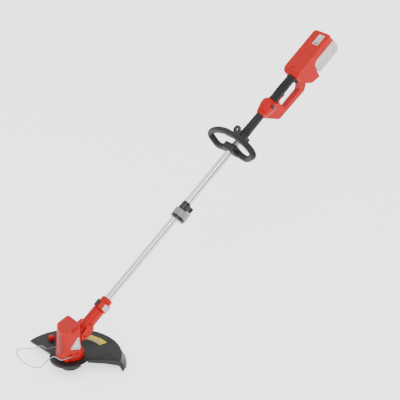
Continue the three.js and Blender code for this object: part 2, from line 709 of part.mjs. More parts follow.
// ---------- neck, collar and lower tube, in the shaft's frame ----------
function buildNeck() {
  const drum = rod(V(TILT_S, -DRUM_HALF, 0), V(TILT_S, DRUM_HALF, 0), DRUM_R);
  const barrel = turned([
    [0, TILT_S],
    [DRUM_R - 1, TILT_S],
    [DRUM_R - 0.5, TILT_S + 12],
    [NECK_R, TILT_S + 36],
    [NECK_R, NECK_TOP_S - 4],
    [NECK_R - 1.5, NECK_TOP_S],
    [SPIGOT_R, NECK_TOP_S],
    [SPIGOT_R, NECK_TOP_S + SPIGOT_L],
    [0, NECK_TOP_S + SPIGOT_L],
  ], 24, "x");
  const bore = join(
    rod(V(TILT_S + 24, 0, 0), V(NECK_TOP_S - 8, 0, 0), NECK_R - WALL - 1),
    rod(V(TILT_S + 20, 0, 0), V(NECK_TOP_S + SPIGOT_L + 5, 0, 0), SPIGOT_R - WALL, undefined, 20),
  );
  const pin = rod(V(TILT_S, -60, 0), V(TILT_S, 60, 0), TILT_PIN_R + GAP, undefined, 16);
  const inner = DRUM_HALF + GAP + EAR_T + GAP;
  const cheekTop = TILT_S + 40;
  const bridgeS = TILT_S + CHEEK_R + 8;
  const cheeks = [-1, 1].map((side) => {
    const [y0, y1] = [side * inner, side * (inner + CHEEK_T)].sort((a, b) => a - b);
    const web = rounded([
      [TILT_S, -CHEEK_R],
      [bridgeS, -CHEEK_R - 3, 8],
      [cheekTop, -CHEEK_R + 2, 4],
      [cheekTop, CHEEK_R - 2, 4],
      [bridgeS, CHEEK_R + 3, 8],
      [TILT_S, CHEEK_R],
    ]);
    const [b0, b1] = side < 0 ? [y0, -DRUM_HALF + 10] : [DRUM_HALF - 10, y1];
    const bridge = prism(rounded([
      [bridgeS, -CHEEK_R - 2, 5],
      [cheekTop, -CHEEK_R + 2, 4],
      [cheekTop + 8, 0, 6],
      [cheekTop, CHEEK_R - 2, 4],
      [bridgeS, CHEEK_R + 2, 5],
    ]), b0, b1);
    return join(rod(V(TILT_S, y0, 0), V(TILT_S, y1, 0), CHEEK_R), prism(web, y0, y1), bridge);
  });
  const neck = cut(join(drum, barrel, ...cheeks), bore, pin);
  add("neck_left", leftHalf(neck), RED, shaft);
  add("neck_right", rightHalf(neck), RED, shaft);
}

function buildCollar() {
  const buttonFloor = COLLAR_R - 7;
  const collar = turned([
    [SPIGOT_R + GAP, COLLAR_S],
    [COLLAR_R - 1, COLLAR_S],
    [COLLAR_R, COLLAR_S + 1.5],
    [COLLAR_R, COLLAR_BAND_TOP_S - 1.5],
    [COLLAR_R - 1.5, COLLAR_BAND_TOP_S],
    [COLLAR_CAP_R, COLLAR_BAND_TOP_S + 1],
    [COLLAR_CAP_R, COLLAR_TOP_S - 3],
    [COLLAR_CAP_R - 3, COLLAR_TOP_S],
    [LOWER_TUBE_R + GAP, COLLAR_TOP_S],
    [LOWER_TUBE_R + GAP, LOWER_TUBE_S],
    [SPIGOT_R + GAP, LOWER_TUBE_S],
  ], 24, "x");
  const s0 = COLLAR_S + 3;
  const s1 = COLLAR_BAND_TOP_S - 3;
  const pocket = box(s0, s1, -SWIVEL_HALF, SWIVEL_HALF, buttonFloor, COLLAR_R + 10);
  add("neck_collar", cut(collar, pocket), RED, shaft);
  const side = rounded([
    [s0 + GAP, buttonFloor + 3],
    [s1 - GAP, buttonFloor + 3],
    [s1 - GAP, COLLAR_R + 4, 2],
    [s0 + GAP, COLLAR_R + 4, 2],
  ]);
  add("swivel_button", prism(side, -SWIVEL_HALF + GAP, SWIVEL_HALF - GAP), BLACK, shaft);
  const tube = turned([
    [LOWER_TUBE_R - TUBE_WALL, LOWER_TUBE_S + GAP],
    [LOWER_TUBE_R, LOWER_TUBE_S + GAP],
    [LOWER_TUBE_R, LOWER_TUBE_END_S],
    [LOWER_TUBE_R - TUBE_WALL, LOWER_TUBE_END_S],
  ], 24, "x");
  add("lower_tube", tube, ALUMINIUM, shaft);
  const coilR = 8;
  const coil = turned([
    [coilR - 3, LOWER_TUBE_END_S - 40],
    [coilR, LOWER_TUBE_END_S - 40],
    [coilR, LOWER_TUBE_END_S + 70],
    [coilR - 3, LOWER_TUBE_END_S + 70],
  ], 16, "x");
  add("coiled_cable", coil, BLACK, shaft);
}

// ---------- telescopic lock: built with its ears towards -Y, then turned about the shaft ----------
const lock = new THREE.Group();
lock.rotation.x = LOCK_TURN;
shaft.add(lock);

function buildLock() {
  const boreLow = LOWER_TUBE_R + GAP;
  const boreHigh = UPPER_TUBE_R + GAP;
  const core = turned([
    [boreLow, LOCK_S],
    [boreLow + 3, LOCK_S],
    [LOCK_CORE_R, LOCK_LEVER_S - 1],
    [LOCK_CORE_R, LOCK_SLEEVE_S],
    [LOCK_SLEEVE_R, LOCK_SLEEVE_S + 1],
    [LOCK_SLEEVE_R - 0.6, LOCK_TOP_S - 6],
    [boreHigh + 1, LOCK_TOP_S],
    [boreHigh, LOCK_TOP_S],
    [boreHigh, UPPER_TUBE_S - GAP],
    [boreLow, UPPER_TUBE_S - GAP],
  ], 24, "x");
  const ringBody = rod(
    V(LOCK_S, -LOCK_OFFSET, 0),
    V(LOCK_LEVER_S - GAP, -LOCK_OFFSET, 0),
    LOCK_RING_R,
    undefined,
    36,
  );
  const tubeSpace = rod(V(LOCK_S - 5, 0, 0), V(LOCK_LEVER_S, 0, 0), LOCK_CORE_R - 2, undefined, 24);
  const earS = LOCK_SLEEVE_S + 8;
  const earEnd = LOCK_SLEEVE_S + LOCK_SLEEVE_L - 6;
  const ear = prism(
    rounded([
      [earS, -9, 2],
      [earEnd, -9, 2],
      [earEnd, 9, 2],
      [earS, 9, 2],
    ]),
    -LOCK_SLEEVE_R - 15,
    -LOCK_SLEEVE_R + 3,
  );
  const pinY = -LOCK_OFFSET - LOCK_RING_R + 4;
  const pinZ = -9;
  const lugR = 5;
  const lug = rod(V(LOCK_SLEEVE_S + GAP, pinY, pinZ), V(LOCK_SLEEVE_S + 6, pinY, pinZ), lugR, undefined, 16);
  const lugWeb = box(LOCK_SLEEVE_S + GAP, LOCK_SLEEVE_S + 6, pinY, -12, pinZ - 4, pinZ + 4);
  const slit = box(LOCK_SLEEVE_S + 4, LOCK_TOP_S + 5, -60, -5, -1, 1);
  const boltY = -LOCK_SLEEVE_R - 8;
  const boltS = (earS + earEnd) / 2;
  const boltHole = rod(V(boltS, boltY, -30), V(boltS, boltY, 30), LOCK_BOLT_R + GAP, undefined, 14);
  const headPocket = rod(V(boltS, boltY, 5), V(boltS, boltY, 30), 5.2, undefined, 16);
  const bore = join(
    rod(V(LOCK_S - 5, 0, 0), V(LOCK_TOP_S + 5, 0, 0), boreLow, undefined, 24),
    rod(V(UPPER_TUBE_S - GAP, 0, 0), V(LOCK_TOP_S + 5, 0, 0), boreHigh, undefined, 24),
  );
  const onPin = (from, to, r, sides) => rod(V(from, pinY, pinZ), V(to, pinY, pinZ), r, undefined, sides);
  const pinHole = onPin(LOCK_S + 2, LOCK_SLEEVE_S + 20, LOCK_PIN_R + GAP, 12);
  const ring = cut(ringBody, tubeSpace);
  const body = cut(join(core, ring, ear, lug, lugWeb), bore, slit, boltHole, headPocket, pinHole);
  add("lock_body", body, BLACK, lock);
  const bolt = join(
    rod(V(boltS, boltY, -8), V(boltS, boltY, 6), LOCK_BOLT_R, undefined, 14),
    rod(V(boltS, boltY, 5 + GAP), V(boltS, boltY, 8.5), 4.6, undefined, 6),
  );
  add("lock_bolt", bolt, STEEL, lock);
  add("lock_pin", onPin(LOCK_S + 3, LOCK_SLEEVE_S + 5, LOCK_PIN_R, 12), STEEL, lock);
  // the lever is a half ring on the +Z side, on the pin at its -Y end
  const s0 = LOCK_LEVER_S;
  const s1 = LOCK_SLEEVE_S;
  const outer = rod(V(s0, -LOCK_OFFSET, 0), V(s1, -LOCK_OFFSET, 0), LOCK_OUTER_R, undefined, 24);
  const inner = rod(V(s0 - 1, 0, 0), V(s1 + 1, 0, 0), LOCK_CORE_R + 2 * GAP, undefined, 24);
  const barrel = onPin(s0, s1, lugR, 16);
  // the free end stops above the shaft's axis, so that it swings clear of the core
  const freeEnd = box(s0 - 1, s1 + 1, 0, 60, -60, 2);
  const half = cut(outer, inner, box(s0 - 1, s1 + 1, -60, 60, -60, pinZ + 2), freeEnd);
  const leverBore = onPin(s0 - 1, s1 + 1, LOCK_PIN_R + GAP, 12);
  const lever = cut(join(half, barrel), leverBore);
  add("lock_lever", lever, GREY, lock);
}

// ---------- upper tube, sleeve, strap clamp ----------
function buildUpperTube() {
  const tube = turned([
    [UPPER_TUBE_R - TUBE_WALL, UPPER_TUBE_S],
    [UPPER_TUBE_R, UPPER_TUBE_S],
    [UPPER_TUBE_R, UPPER_TUBE_END_S],
    [UPPER_TUBE_R - TUBE_WALL, UPPER_TUBE_END_S],
  ], 24, "x");
  add("upper_tube", tube, ALUMINIUM, shaft);
  const bore = UPPER_TUBE_R + GAP;
  const sleeve = turned([
    [bore, SLEEVE_S],
    [SLEEVE_R, SLEEVE_S],
    [SLEEVE_R, SLEEVE_S + 12],
    [SLEEVE_TOP_R, SLEEVE_S + SLEEVE_L],
    [bore, SLEEVE_S + SLEEVE_L],
  ], 24, "x");
  add("shaft_sleeve", sleeve, RUBBER, shaft);
  const s0 = STRAP_S - STRAP_CLAMP_L / 2;
  const s1 = STRAP_S + STRAP_CLAMP_L / 2;
  const band = rod(V(s0, 0, 0), V(s1, 0, 0), STRAP_CLAMP_R, undefined, 24);
  const eye = rod(V(STRAP_S, -4.5, EYE_H), V(STRAP_S, 4.5, EYE_H), EYE_R, undefined, 24);
  const web = box(STRAP_S - 8, STRAP_S + 8, -4.5, 4.5, STRAP_CLAMP_R - 2, EYE_H - 6);
  const foot = box(STRAP_S - 9, STRAP_S + 9, -10, 10, -STRAP_CLAMP_R - 12, -STRAP_CLAMP_R + 3);
  const eyeHole = rod(V(STRAP_S, -10, EYE_H), V(STRAP_S, 10, EYE_H), EYE_HOLE_R, undefined, 40);
  const tubeBore = rod(V(s0 - 1, 0, 0), V(s1 + 1, 0, 0), bore, undefined, 24);
  const slit = box(s0 - 1, s1 + 1, -1.2, 1.2, -FAR, -5);
  const boltH = -STRAP_CLAMP_R - 5;
  const boltHole = rod(V(STRAP_S, -30, boltH), V(STRAP_S, 30, boltH), 2.5 + GAP, undefined, 14);
  const clamp = cut(join(band, eye, web, foot), eyeHole, tubeBore, slit, boltHole);
  add("strap_clamp", clamp, BLACK, shaft);
  const bolt = join(
    rod(V(STRAP_S, -12, boltH), V(STRAP_S, 12, boltH), 2.5, undefined, 14),
    rod(V(STRAP_S, -15, boltH), V(STRAP_S, -10 - GAP, boltH), 5.5, undefined, 16),
  );
  add("strap_clamp_bolt", bolt, BLACK, shaft);
  add("strap_clamp_nut", cut(
    rod(V(STRAP_S, 10 + GAP, boltH), V(STRAP_S, 14, boltH), 4.8, undefined, 6),
    boltHole,
  ), STEEL, shaft);
}

// ---------- front loop handle, drawn in its own leaning plane ----------
const loop = new THREE.Group();
loop.position.x = CLAMP_S;
loop.rotation.y = LOOP_TILT;
shaft.add(loop);

function buildLoop() {
  const arch = 66; // height of the loop's middle over the shaft's axis
  const low = -7;
  const points = [
    [0, low],
    [-40, low],
    [-78, low - 3],
    [-103, 3],
    [-LOOP_WIDTH, 19],
    [-107, 37],
    [-74, 53],
    [-30, arch - 3],
    [30, arch - 3],
    [74, 53],
    [107, 37],
    [LOOP_WIDTH, 19],
    [103, 3],
    [78, low - 3],
    [40, low],
    [4, low],
  ].map(([y, z]) => V(0, y, z));
  const curve = new THREE.CatmullRomCurve3(points, false, "catmullrom", 0.5);
  const bar = swept(curve, LOOP_R, 44, 8);
  // the hub stands square to the shaft, so it is turned back out of the loop's lean
  const lean = THREE.MathUtils.radToDeg(-LOOP_TILT);
  const hub = prism(
    rounded([
      [-CLAMP_HALF_S, -CLAMP_R],
      [CLAMP_HALF_S, -CLAMP_R],
      [CLAMP_HALF_S, CLAMP_R],
      [-CLAMP_HALF_S, CLAMP_R],
    ]),
    -CLAMP_R - 6,
    CLAMP_R + 6,
    3,
  ).rotate([0, lean, 0]);
  const bore = rod(V(-60, 0, 0), V(60, 0, 0), UPPER_TUBE_R + GAP, undefined, 24).rotate([0, lean, 0]);
  const both = cut(join(bar, hub), bore);
  const half = (z0, z1) => box(-60, 60, -CLAMP_R - 8, CLAMP_R + 8, z0, z1).rotate([0, lean, 0]);
  const cap = both.intersect(half(-60, -GAP));
  const capSpace = half(-60, GAP);
  const screwAt = CLAMP_R;
  let handle = cut(both, capSpace);
  let lower = cap;
  [-1, 1].forEach((k, i) => {
    const at = (z) => V(0, k * screwAt, z);
    const turn = (s) => s.rotate([0, lean, 0]);
    const hole = turn(rod(at(-60), at(12), CLAMP_SCREW_R + GAP, undefined, 14));
    const space = turn(rod(at(-60), at(-CLAMP_R + 4), 6, undefined, 16));
    handle = cut(handle, hole);
    lower = cut(lower, hole, space);
    const shank = turn(rod(at(-CLAMP_R + 6), at(11), CLAMP_SCREW_R, undefined, 14));
    const head = turn(rod(at(-CLAMP_R + 1), at(-CLAMP_R + 4 - GAP), 5, undefined, 16));
    const neckRod = turn(rod(at(-CLAMP_R + 2), at(-CLAMP_R + 7), CLAMP_SCREW_R, undefined, 14));
    add(`clamp_screw_${i + 1}`, join(head, neckRod, shank), STEEL, loop);
  });
  add("loop_handle", handle, BLACK, loop);
  add("handle_clamp_cap", lower, BLACK, loop);
}

// ---------- rear handle ----------
const OPEN_S0 = GRIP_S + 14; // finger opening
const OPEN_S1 = HOUSE_S + 3;
const OPEN_H = -58;
const BAR_BOTTOM_H = -75;

function buildRearHandle() {
  const noseS = COLLAR2_S;
  const nose = turned([
    [0, noseS],
    [SLEEVE_TOP_R + 1.6, noseS],
    [SLEEVE_TOP_R + 3.6, noseS + 2],
    [COLLAR2_R - 7, noseS + 14],
    [COLLAR2_R - 1, noseS + 38],
    [COLLAR2_R, noseS + 50],
    [COLLAR2_R - 3, noseS + 60],
    [GRIP_R + 2, noseS + COLLAR2_L - GAP],
    [0, noseS + COLLAR2_L - GAP],
  ], 24, "x");
  const guardOuter = rounded([
    [noseS + 4, 6],
    [noseS + 2, -16],
    [noseS + 44, BAR_BOTTOM_H, 14],
    [HOUSE_S + 4, BAR_BOTTOM_H - 4, 16],
    [HOUSE_S + 34, -56, 10],
    [HOUSE_S + 40, 6],
  ]);
  const opening = rounded([
    [OPEN_S0, -8, 2],
    [OPEN_S0, OPEN_H, 9],
    [OPEN_S1 - 14, OPEN_H + 1, 10],
    [OPEN_S1, OPEN_H + 18, 8],
    [OPEN_S1, -8, 2],
  ]);
  const bar = cut(prism(guardOuter, -BAR_HALF, BAR_HALF, 5), prism(opening, -60, 60));
  const core = rod(V(GRIP_S - 20, 0, 0), V(HOUSE_S + 20, 0, 0), GRIP_CORE_R, undefined, 24);
  const gripClear = cut(
    rod(V(GRIP_S - GAP, 0, 0), V(HOUSE_S + GAP, 0, 0), GRIP_R + 2.2, undefined, 24),
    rod(V(GRIP_S - 20, 0, 0), V(HOUSE_S + 20, 0, 0), GRIP_CORE_R, undefined, 24),
  );
  const front = HOUSE_S;
  const houseOutline = (i) =>
    rounded([
      [front + i, 16 - i],
      [front + 20 + i, HOUSE_TOP_H - i, 10],
      [i ? HOUSE_END_S + 5 : HOUSE_END_S, HOUSE_TOP_H - i, i ? 0 : 10],
      [i ? HOUSE_END_S + 5 : HOUSE_END_S, HOUSE_SPLIT_H],
      [BATTERY_S + 14, HOUSE_SPLIT_H],
      [BATTERY_S + 2 - i, HOUSE_SPLIT_H - 8 + i * 0.5],
      [BATTERY_S - 4 - i, HOUSE_SPLIT_H - 24 + i],
      [BATTERY_S - 8 - i, -66 + i],
      [front + 34 + i, -58 + i, 10],
      [front + i, -20 + i],
    ]);
  const housePlan = (i) => plate(rounded([
    [HOUSE_S + i, -HOUSE_HALF + i, 12],
    [HOUSE_END_S - i, -HOUSE_HALF + i, HOUSE_CORNER_R],
    [HOUSE_END_S - i, HOUSE_HALF - i, HOUSE_CORNER_R],
    [HOUSE_S + i, HOUSE_HALF - i, 12],
  ]), -100, 100, 5);
  const house = prism(houseOutline(0), -HOUSE_HALF, HOUSE_HALF, 6).intersect(housePlan(0));
  const hollow = prism(houseOutline(WALL), -HOUSE_HALF + WALL, HOUSE_HALF - WALL, 4).intersect(housePlan(WALL));
  const batterySpace = box(
    BATTERY_S - GAP,
    HOUSE_END_S + 20,
    -BATTERY_HALF + 0.5,
    BATTERY_HALF - 0.5,
    -60,
    HOUSE_SPLIT_H + 12,
  );
  const bored = (from, to, r) => rod(V(from, 0, 0), V(to, 0, 0), r, undefined, 24);
  const tubeBore = bored(noseS - 5, UPPER_TUBE_END_S + GAP, UPPER_TUBE_R + GAP);
  const cableBore = bored(noseS, HOUSE_S + 30, GRIP_CORE_R - WALL);
  let shell = join(cut(join(nose, bar, house), gripClear), core);
  shell = cut(shell, hollow, tubeBore, cableBore);
  shell = cut(shell, batterySpace);
  // the finger guard is a hollow bar
  const trough = rounded([
    [noseS + 50, BAR_BOTTOM_H + 4],
    [HOUSE_S, BAR_BOTTOM_H + 1],
    [HOUSE_S, BAR_BOTTOM_H + 10],
    [noseS + 56, BAR_BOTTOM_H + 12],
  ]);
  shell = cut(shell, prism(trough, -BAR_HALF + 4, BAR_HALF - 4));
  // space for the trigger, its switch and the lock-off button
  const triggerSlot = box(OPEN_S0 - 12, OPEN_S0 + 40, -7.5, 7.5, -34, 6);
  shell = cut(shell, triggerSlot);
  const slotShape = rounded([
    [HOUSE_S + 24, 18],
    [HOUSE_S + 27, 18],
    [HOUSE_S + 27, 40],
    [HOUSE_S + 24, 40],
  ]);
  shell = cut(shell, prism(slotShape, -9, 9));
  const lockS = COLLAR2_S + 46;
  const lockH = 5;
  const lockOutline = (r) =>
    rounded([
      [lockS - r, lockH - r - 3, r * 0.98],
      [lockS + r, lockH - r - 3, r * 0.98],
      [lockS + r, lockH + r + 3, r * 0.98],
      [lockS - r, lockH + r + 3, r * 0.98],
    ]);
  shell = cut(shell, prism(lockOutline(4 + GAP), -60, -UPPER_TUBE_R - 4));
  add("handle_shell_left", leftHalf(shell), RED, shaft);
  add("handle_shell_right", rightHalf(shell), RED, shaft);
  const buttonEnd = -UPPER_TUBE_R - 4 - BUTTON_TRAVEL - 1;
  add("lock_off_button", prism(lockOutline(4), -COLLAR2_R - 1.5, buttonEnd), BLACK, shaft);

  const grip = turned([
    [GRIP_CORE_R + GAP, GRIP_S + GAP],
    [GRIP_R + 1.6, GRIP_S + GAP],
    [GRIP_R, GRIP_S + 14],
    [GRIP_R + 0.6, GRIP_S + GRIP_L * 0.5],
    [GRIP_R, GRIP_S + GRIP_L - 14],
    [GRIP_R + 1.2, GRIP_S + GRIP_L - GAP],
    [GRIP_CORE_R + GAP, GRIP_S + GRIP_L - GAP],
  ], 24, "x");
  const gripSlot = box(GRIP_S - 5, OPEN_S0 + 40.5, -8, 8, -40, 0);
  add("grip_overmould", cut(grip, gripSlot), RUBBER, shaft);

  const trigger = prism(
    rounded([
      [OPEN_S0 - 8, 0],
      [OPEN_S0 - 6, -18],
      [OPEN_S0 + 4, -24],
      [OPEN_S0 + 16, -21],
      [OPEN_S0 + 34, -25],
      [OPEN_S0 + 38, -9],
      [OPEN_S0 + 20, -5],
    ]),
    -6.8,
    6.8,
    2,
  );
  add("trigger", trigger, RED, shaft);
  add("trigger_switch", box(OPEN_S0 + 12, OPEN_S0 + 34, -7, 7, -0.6, 5), BLACK, shaft);
  add("control_board", box(HOUSE_S + 30, BATTERY_S - 10, -24, 24, -30, -28), BOARD, shaft);
  add("terminal_block", box(BATTERY_S - 11, BATTERY_S - 6.5, -20, 20, -18, 4), BLACK, shaft);
}

function buildBattery() {
  const s0 = BATTERY_S + GAP;
  const s1 = HOUSE_END_S;
  const half = BATTERY_HALF - 1;
  const outline = (i) =>
    rounded([
      [s0 + i, HOUSE_SPLIT_H - GAP - i],
      [s0 + i, BATTERY_BOTTOM_H + 5 + i],
      [s0 + 5 + i, BATTERY_BOTTOM_H + i],
      [s1 - 14 - i, BATTERY_BOTTOM_H + i],
      [s1 - i, BATTERY_BOTTOM_H + 14 + i],
      [s1 - i, HOUSE_SPLIT_H - GAP - i],
    ]);
  const tray = prism(outline(0), -half, half, 5);
  const space = prism(outline(2), -half + 2.2, half - 2.2);
  const lid = box(s0 + 3, s1 - 6, -half + 8, half - 8, HOUSE_SPLIT_H - 3, HOUSE_SPLIT_H + 10);
  const lidSpace = box(s0 + 6, s1 - 9, -half + 11, half - 11, HOUSE_SPLIT_H - 8, HOUSE_SPLIT_H + 7.5);
  const shell = cut(join(tray, lid), space, lidSpace);
  const vents = box(s0 - 1, s0 + 5, -10, 10, HOUSE_SPLIT_H - 20, HOUSE_SPLIT_H - 12);
  const latchSpace = box(s1 - 5, s1 + 1, -9, 9, HOUSE_SPLIT_H - 18, HOUSE_SPLIT_H - 8);
  const whole = cut(shell, vents, latchSpace);
  add("battery_case", whole, PALE, shaft);
  const latch = box(s1 - 4.5, s1 + 2, -8.6, 8.6, HOUSE_SPLIT_H - 15, HOUSE_SPLIT_H - 8.4);
  add("battery_latch", latch, RED, shaft);
  // ten cells, in five welded pairs
  const pitch = 2 * CELL_R + 1;
  for (let i = 0; i < 5; i += 1) {
    const s = s0 + 16 + pitch * i;
    const low = BATTERY_BOTTOM_H + 4 + CELL_R;
    const cell = (h) => rod(V(s, -33, h), V(s, 33, h), CELL_R, undefined, 12);
    const strip = (y) => box(s - 3, s + 3, y - 0.5, y + 0.5, low, low + pitch);
    const pair = join(cell(low), cell(low + pitch), strip(-33), strip(33));
    add(`battery_cell_pair_${i + 1}`, pair, GREY, shaft);
  }
}

buildSpool();
buildMotor();
buildHousing();
buildGuard();
buildWire();
buildNeck();
buildCollar();
buildLock();
buildUpperTube();
buildLoop();
buildRearHandle();
buildBattery();

export default root;
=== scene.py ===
# Looks of the cordless string trimmer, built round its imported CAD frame.
# Helper shapes are in millimetres; piece() scales each one and puts it in its place, in metres.
import json
import math

import bmesh
import bpy
from mathutils import Matrix, Vector


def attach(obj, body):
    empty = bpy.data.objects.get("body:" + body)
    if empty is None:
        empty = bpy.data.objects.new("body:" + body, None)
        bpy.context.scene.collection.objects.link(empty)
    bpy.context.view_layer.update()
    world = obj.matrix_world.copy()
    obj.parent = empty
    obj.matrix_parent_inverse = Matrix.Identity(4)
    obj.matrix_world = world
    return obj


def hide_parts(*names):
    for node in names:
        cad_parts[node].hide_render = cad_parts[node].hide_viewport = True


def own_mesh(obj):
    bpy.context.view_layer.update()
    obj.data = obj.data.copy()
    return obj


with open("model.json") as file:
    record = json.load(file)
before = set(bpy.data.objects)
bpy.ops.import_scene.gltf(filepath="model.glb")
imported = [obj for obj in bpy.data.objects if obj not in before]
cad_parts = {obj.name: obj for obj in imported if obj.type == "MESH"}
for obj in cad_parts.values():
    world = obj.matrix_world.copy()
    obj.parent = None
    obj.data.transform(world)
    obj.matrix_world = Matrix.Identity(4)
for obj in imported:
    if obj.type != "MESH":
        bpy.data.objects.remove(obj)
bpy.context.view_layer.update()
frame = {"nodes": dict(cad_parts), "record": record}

# ---------- frames and sizes shared with the CAD ----------
MM = 0.001
SHAFT_ANGLE = math.radians(38)
LOCK_TURN = math.radians(46)
LOOP_TILT = math.radians(30)
FOOT_Z = 87
TILT_S, COLLAR_S, LOCK_S = 56, 159.3, 570.3
LOWER_S0, LOWER_S1 = 172.6, 765.3
UPPER_S0, UPPER_S1 = 589.3, 1110.9
CLAMP_S, STRAP_S, SLEEVE_S = 888.3, 949.3, 959.6
NOSE_S, GRIP_S, HOUSE_S, BATTERY_S, END_S = 1047.9, 1116.9, 1229.9, 1310.9, 1427.9
DECK_Z = 46
UPPER_R, TUBE_WALL = 14, 1.2
LOWER_R = UPPER_R - TUBE_WALL - 0.3
BORE_R = UPPER_R + 0.3  # of what the upper tube passes through

ROW = Matrix.Scale(MM, 4)
SHAFT = Matrix.Translation((0, 0, FOOT_Z * MM)) @ Matrix.Rotation(-SHAFT_ANGLE, 4, "Y") @ ROW
LOCK = SHAFT @ Matrix.Rotation(LOCK_TURN, 4, "X")
LOOP = SHAFT @ Matrix.Translation((CLAMP_S, 0, 0)) @ Matrix.Rotation(LOOP_TILT, 4, "Y")


# ---------- materials ----------
def node(tree, kind, inputs=(), **settings):
    made = tree.nodes.new(kind)
    for key, value in settings.items():
        setattr(made, key, value)
    for key, value in dict(inputs).items():
        if isinstance(value, bpy.types.NodeSocket):
            tree.links.new(value, made.inputs[key])
        else:
            made.inputs[key].default_value = value
    return made


def shaded(name, color, rough, metal=0.0, grain=900.0, bump=0.06, vary=0.05, wear=0.12, coat=0.0,
           stretch=(1, 1, 1), turn=(0, 0, 0), rough_vary=0.08, gloss=0.5):
    """A surface with fine grain, slow shifts of colour and roughness, and paler edges."""
    mat = bpy.data.materials.new(name)
    mat.use_nodes = True
    tree = mat.node_tree
    shader = tree.nodes["Principled BSDF"]
    where = node(tree, "ShaderNodeTexCoord").outputs["Object"]
    mapped = node(tree, "ShaderNodeMapping", {"Vector": where, "Rotation": turn, "Scale": stretch})
    spot = mapped.outputs["Vector"]
    fine = node(tree, "ShaderNodeTexNoise", {"Vector": spot, "Scale": grain, "Detail": 3.0})
    slow = node(tree, "ShaderNodeTexNoise", {"Vector": spot, "Scale": grain * 0.03, "Detail": 2.0})
    shift = node(tree, "ShaderNodeMapRange", {"Value": slow.outputs["Fac"], "From Min": 0.3, "From Max": 0.7,
                                              "To Min": 1 - vary, "To Max": 1 + vary})
    edge = node(tree, "ShaderNodeMapRange",
                {"Value": node(tree, "ShaderNodeNewGeometry").outputs["Pointiness"],
                 "From Min": 0.52, "From Max": 0.6, "To Min": 0.0, "To Max": wear})
    toned = node(tree, "ShaderNodeVectorMath", {0: (*color,), "Scale": shift.outputs["Result"]},
                 operation="SCALE")
    worn = node(tree, "ShaderNodeMix", {"Factor": edge.outputs["Result"], "A": toned.outputs["Vector"],
                                        "B": (*[min(1, c * 1.3 + 0.12) for c in color], 1)}, data_type="RGBA")
    tree.links.new(worn.outputs[2], shader.inputs["Base Color"])
    dull = node(tree, "ShaderNodeMapRange", {"Value": fine.outputs["Fac"], "From Min": 0.25, "From Max": 0.75,
                                             "To Min": rough - rough_vary, "To Max": rough + rough_vary})
    tree.links.new(dull.outputs["Result"], shader.inputs["Roughness"])
    lift = node(tree, "ShaderNodeBump", {"Height": fine.outputs["Fac"], "Strength": bump, "Distance": 0.0004})
    tree.links.new(lift.outputs["Normal"], shader.inputs["Normal"])
    shader.inputs["Metallic"].default_value = metal
    shader.inputs["Specular IOR Level"].default_value = gloss
    shader.inputs["Coat Weight"].default_value = coat
    shader.inputs["Coat Roughness"].default_value = 0.15
    return mat


ALONG = {"turn": (0, SHAFT_ANGLE, 0)}
RED = shaded("red_plastic", (0.44, 0.0016, 0.0008), 0.42, grain=1400, bump=0.05, wear=0.02, gloss=0.2)
# A darker copy of the red, used only for the front panel.
DARKER_RED = shaded("darker_red_plastic", (0.30, 0.001, 0.0004), 0.42, grain=700, bump=0.02, gloss=0.16)
BLACK = shaded("black_plastic", (0.010, 0.0105, 0.0115), 0.48, gloss=0.3, grain=1100, bump=0.16, wear=0.10)
BLACK_GLOSS = shaded("black_gloss_plastic", (0.007, 0.0074, 0.0085), 0.32, grain=900, bump=0.05, gloss=0.35)
RUBBER = shaded("soft_rubber", (0.008, 0.0084, 0.0095), 0.60, gloss=0.28, grain=1800, bump=0.35, wear=0.06)
GREY = shaded("grey_plastic", (0.22, 0.225, 0.23), 0.40, grain=1200, bump=0.06)
PALE = shaded("pale_plastic", (0.52, 0.50, 0.475), 0.42, grain=1300, bump=0.08, vary=0.03)
TUBE = shaded("tube_aluminium", (0.60, 0.61, 0.62), 0.30, metal=1.0, grain=700, bump=0.05, vary=0.03,
              wear=0.0, stretch=(0.012, 1, 1), **ALONG)
STEEL = shaded("steel", (0.34, 0.345, 0.35), 0.30, metal=1.0, grain=1500, bump=0.05, wear=0.2)
COPPER = shaded("copper", (0.60, 0.30, 0.15), 0.40, metal=1.0, grain=600, bump=0.4)
LINE = shaded("cutting_line", (0.80, 0.22, 0.03), 0.45, grain=900, bump=0.2)
BOARD = shaded("circuit_board", (0.05, 0.25, 0.10), 0.50, grain=500, bump=0.1)
LABEL = shaded("pale_label", (0.55, 0.55, 0.54), 0.35, grain=2500, bump=0.03, vary=0.02, wear=0)
INK = shaded("grey_ink", (0.12, 0.12, 0.13), 0.40, grain=2500, bump=0.03, wear=0)
YELLOW = shaded("yellow_label", (0.62, 0.52, 0.002), 0.45, gloss=0.2, grain=2500, bump=0.03, vary=0.03,
                wear=0)
# Near-black painted shade, put inside the vent slots to stand in for the dark inside of the housing.
PAINTED_SHADE = shaded("painted_shade_dark", (0.010, 0.010, 0.011), 0.70, grain=900, bump=0.1, wear=0)


# ---------- outlines ----------
def rounded(points, closed=True, steps=5):
    """Points (a, b[, radius]) with each corner turned into an arc that fits between its neighbours."""
    out = []
    count = len(points)
    for i, point in enumerate(points):
        here = Vector(point[:2])
        r = point[2] if len(point) > 2 else 0
        if r <= 0 or (not closed and i in (0, count - 1)):
            out.append(here)
            continue
        back = Vector(points[i - 1][:2]) - here
        ahead = Vector(points[(i + 1) % count][:2]) - here
        room = 0.48 * min(back.length, ahead.length)
        back.normalize()
        ahead.normalize()
        half = back.angle(ahead) / 2
        if half > 1.5:
            out.append(here)
            continue
        reach = min(r / math.tan(half), room)
        r = reach * math.tan(half)
        centre = here + (back + ahead).normalized() * (r / math.sin(half))
        a = here + back * reach - centre
        b = here + ahead * reach - centre
        turn = a.angle(b)
        for k in range(steps + 1):
            t = k / steps
            out.append(centre + (a * math.sin((1 - t) * turn) + b * math.sin(t * turn)) / math.sin(turn))
    return out


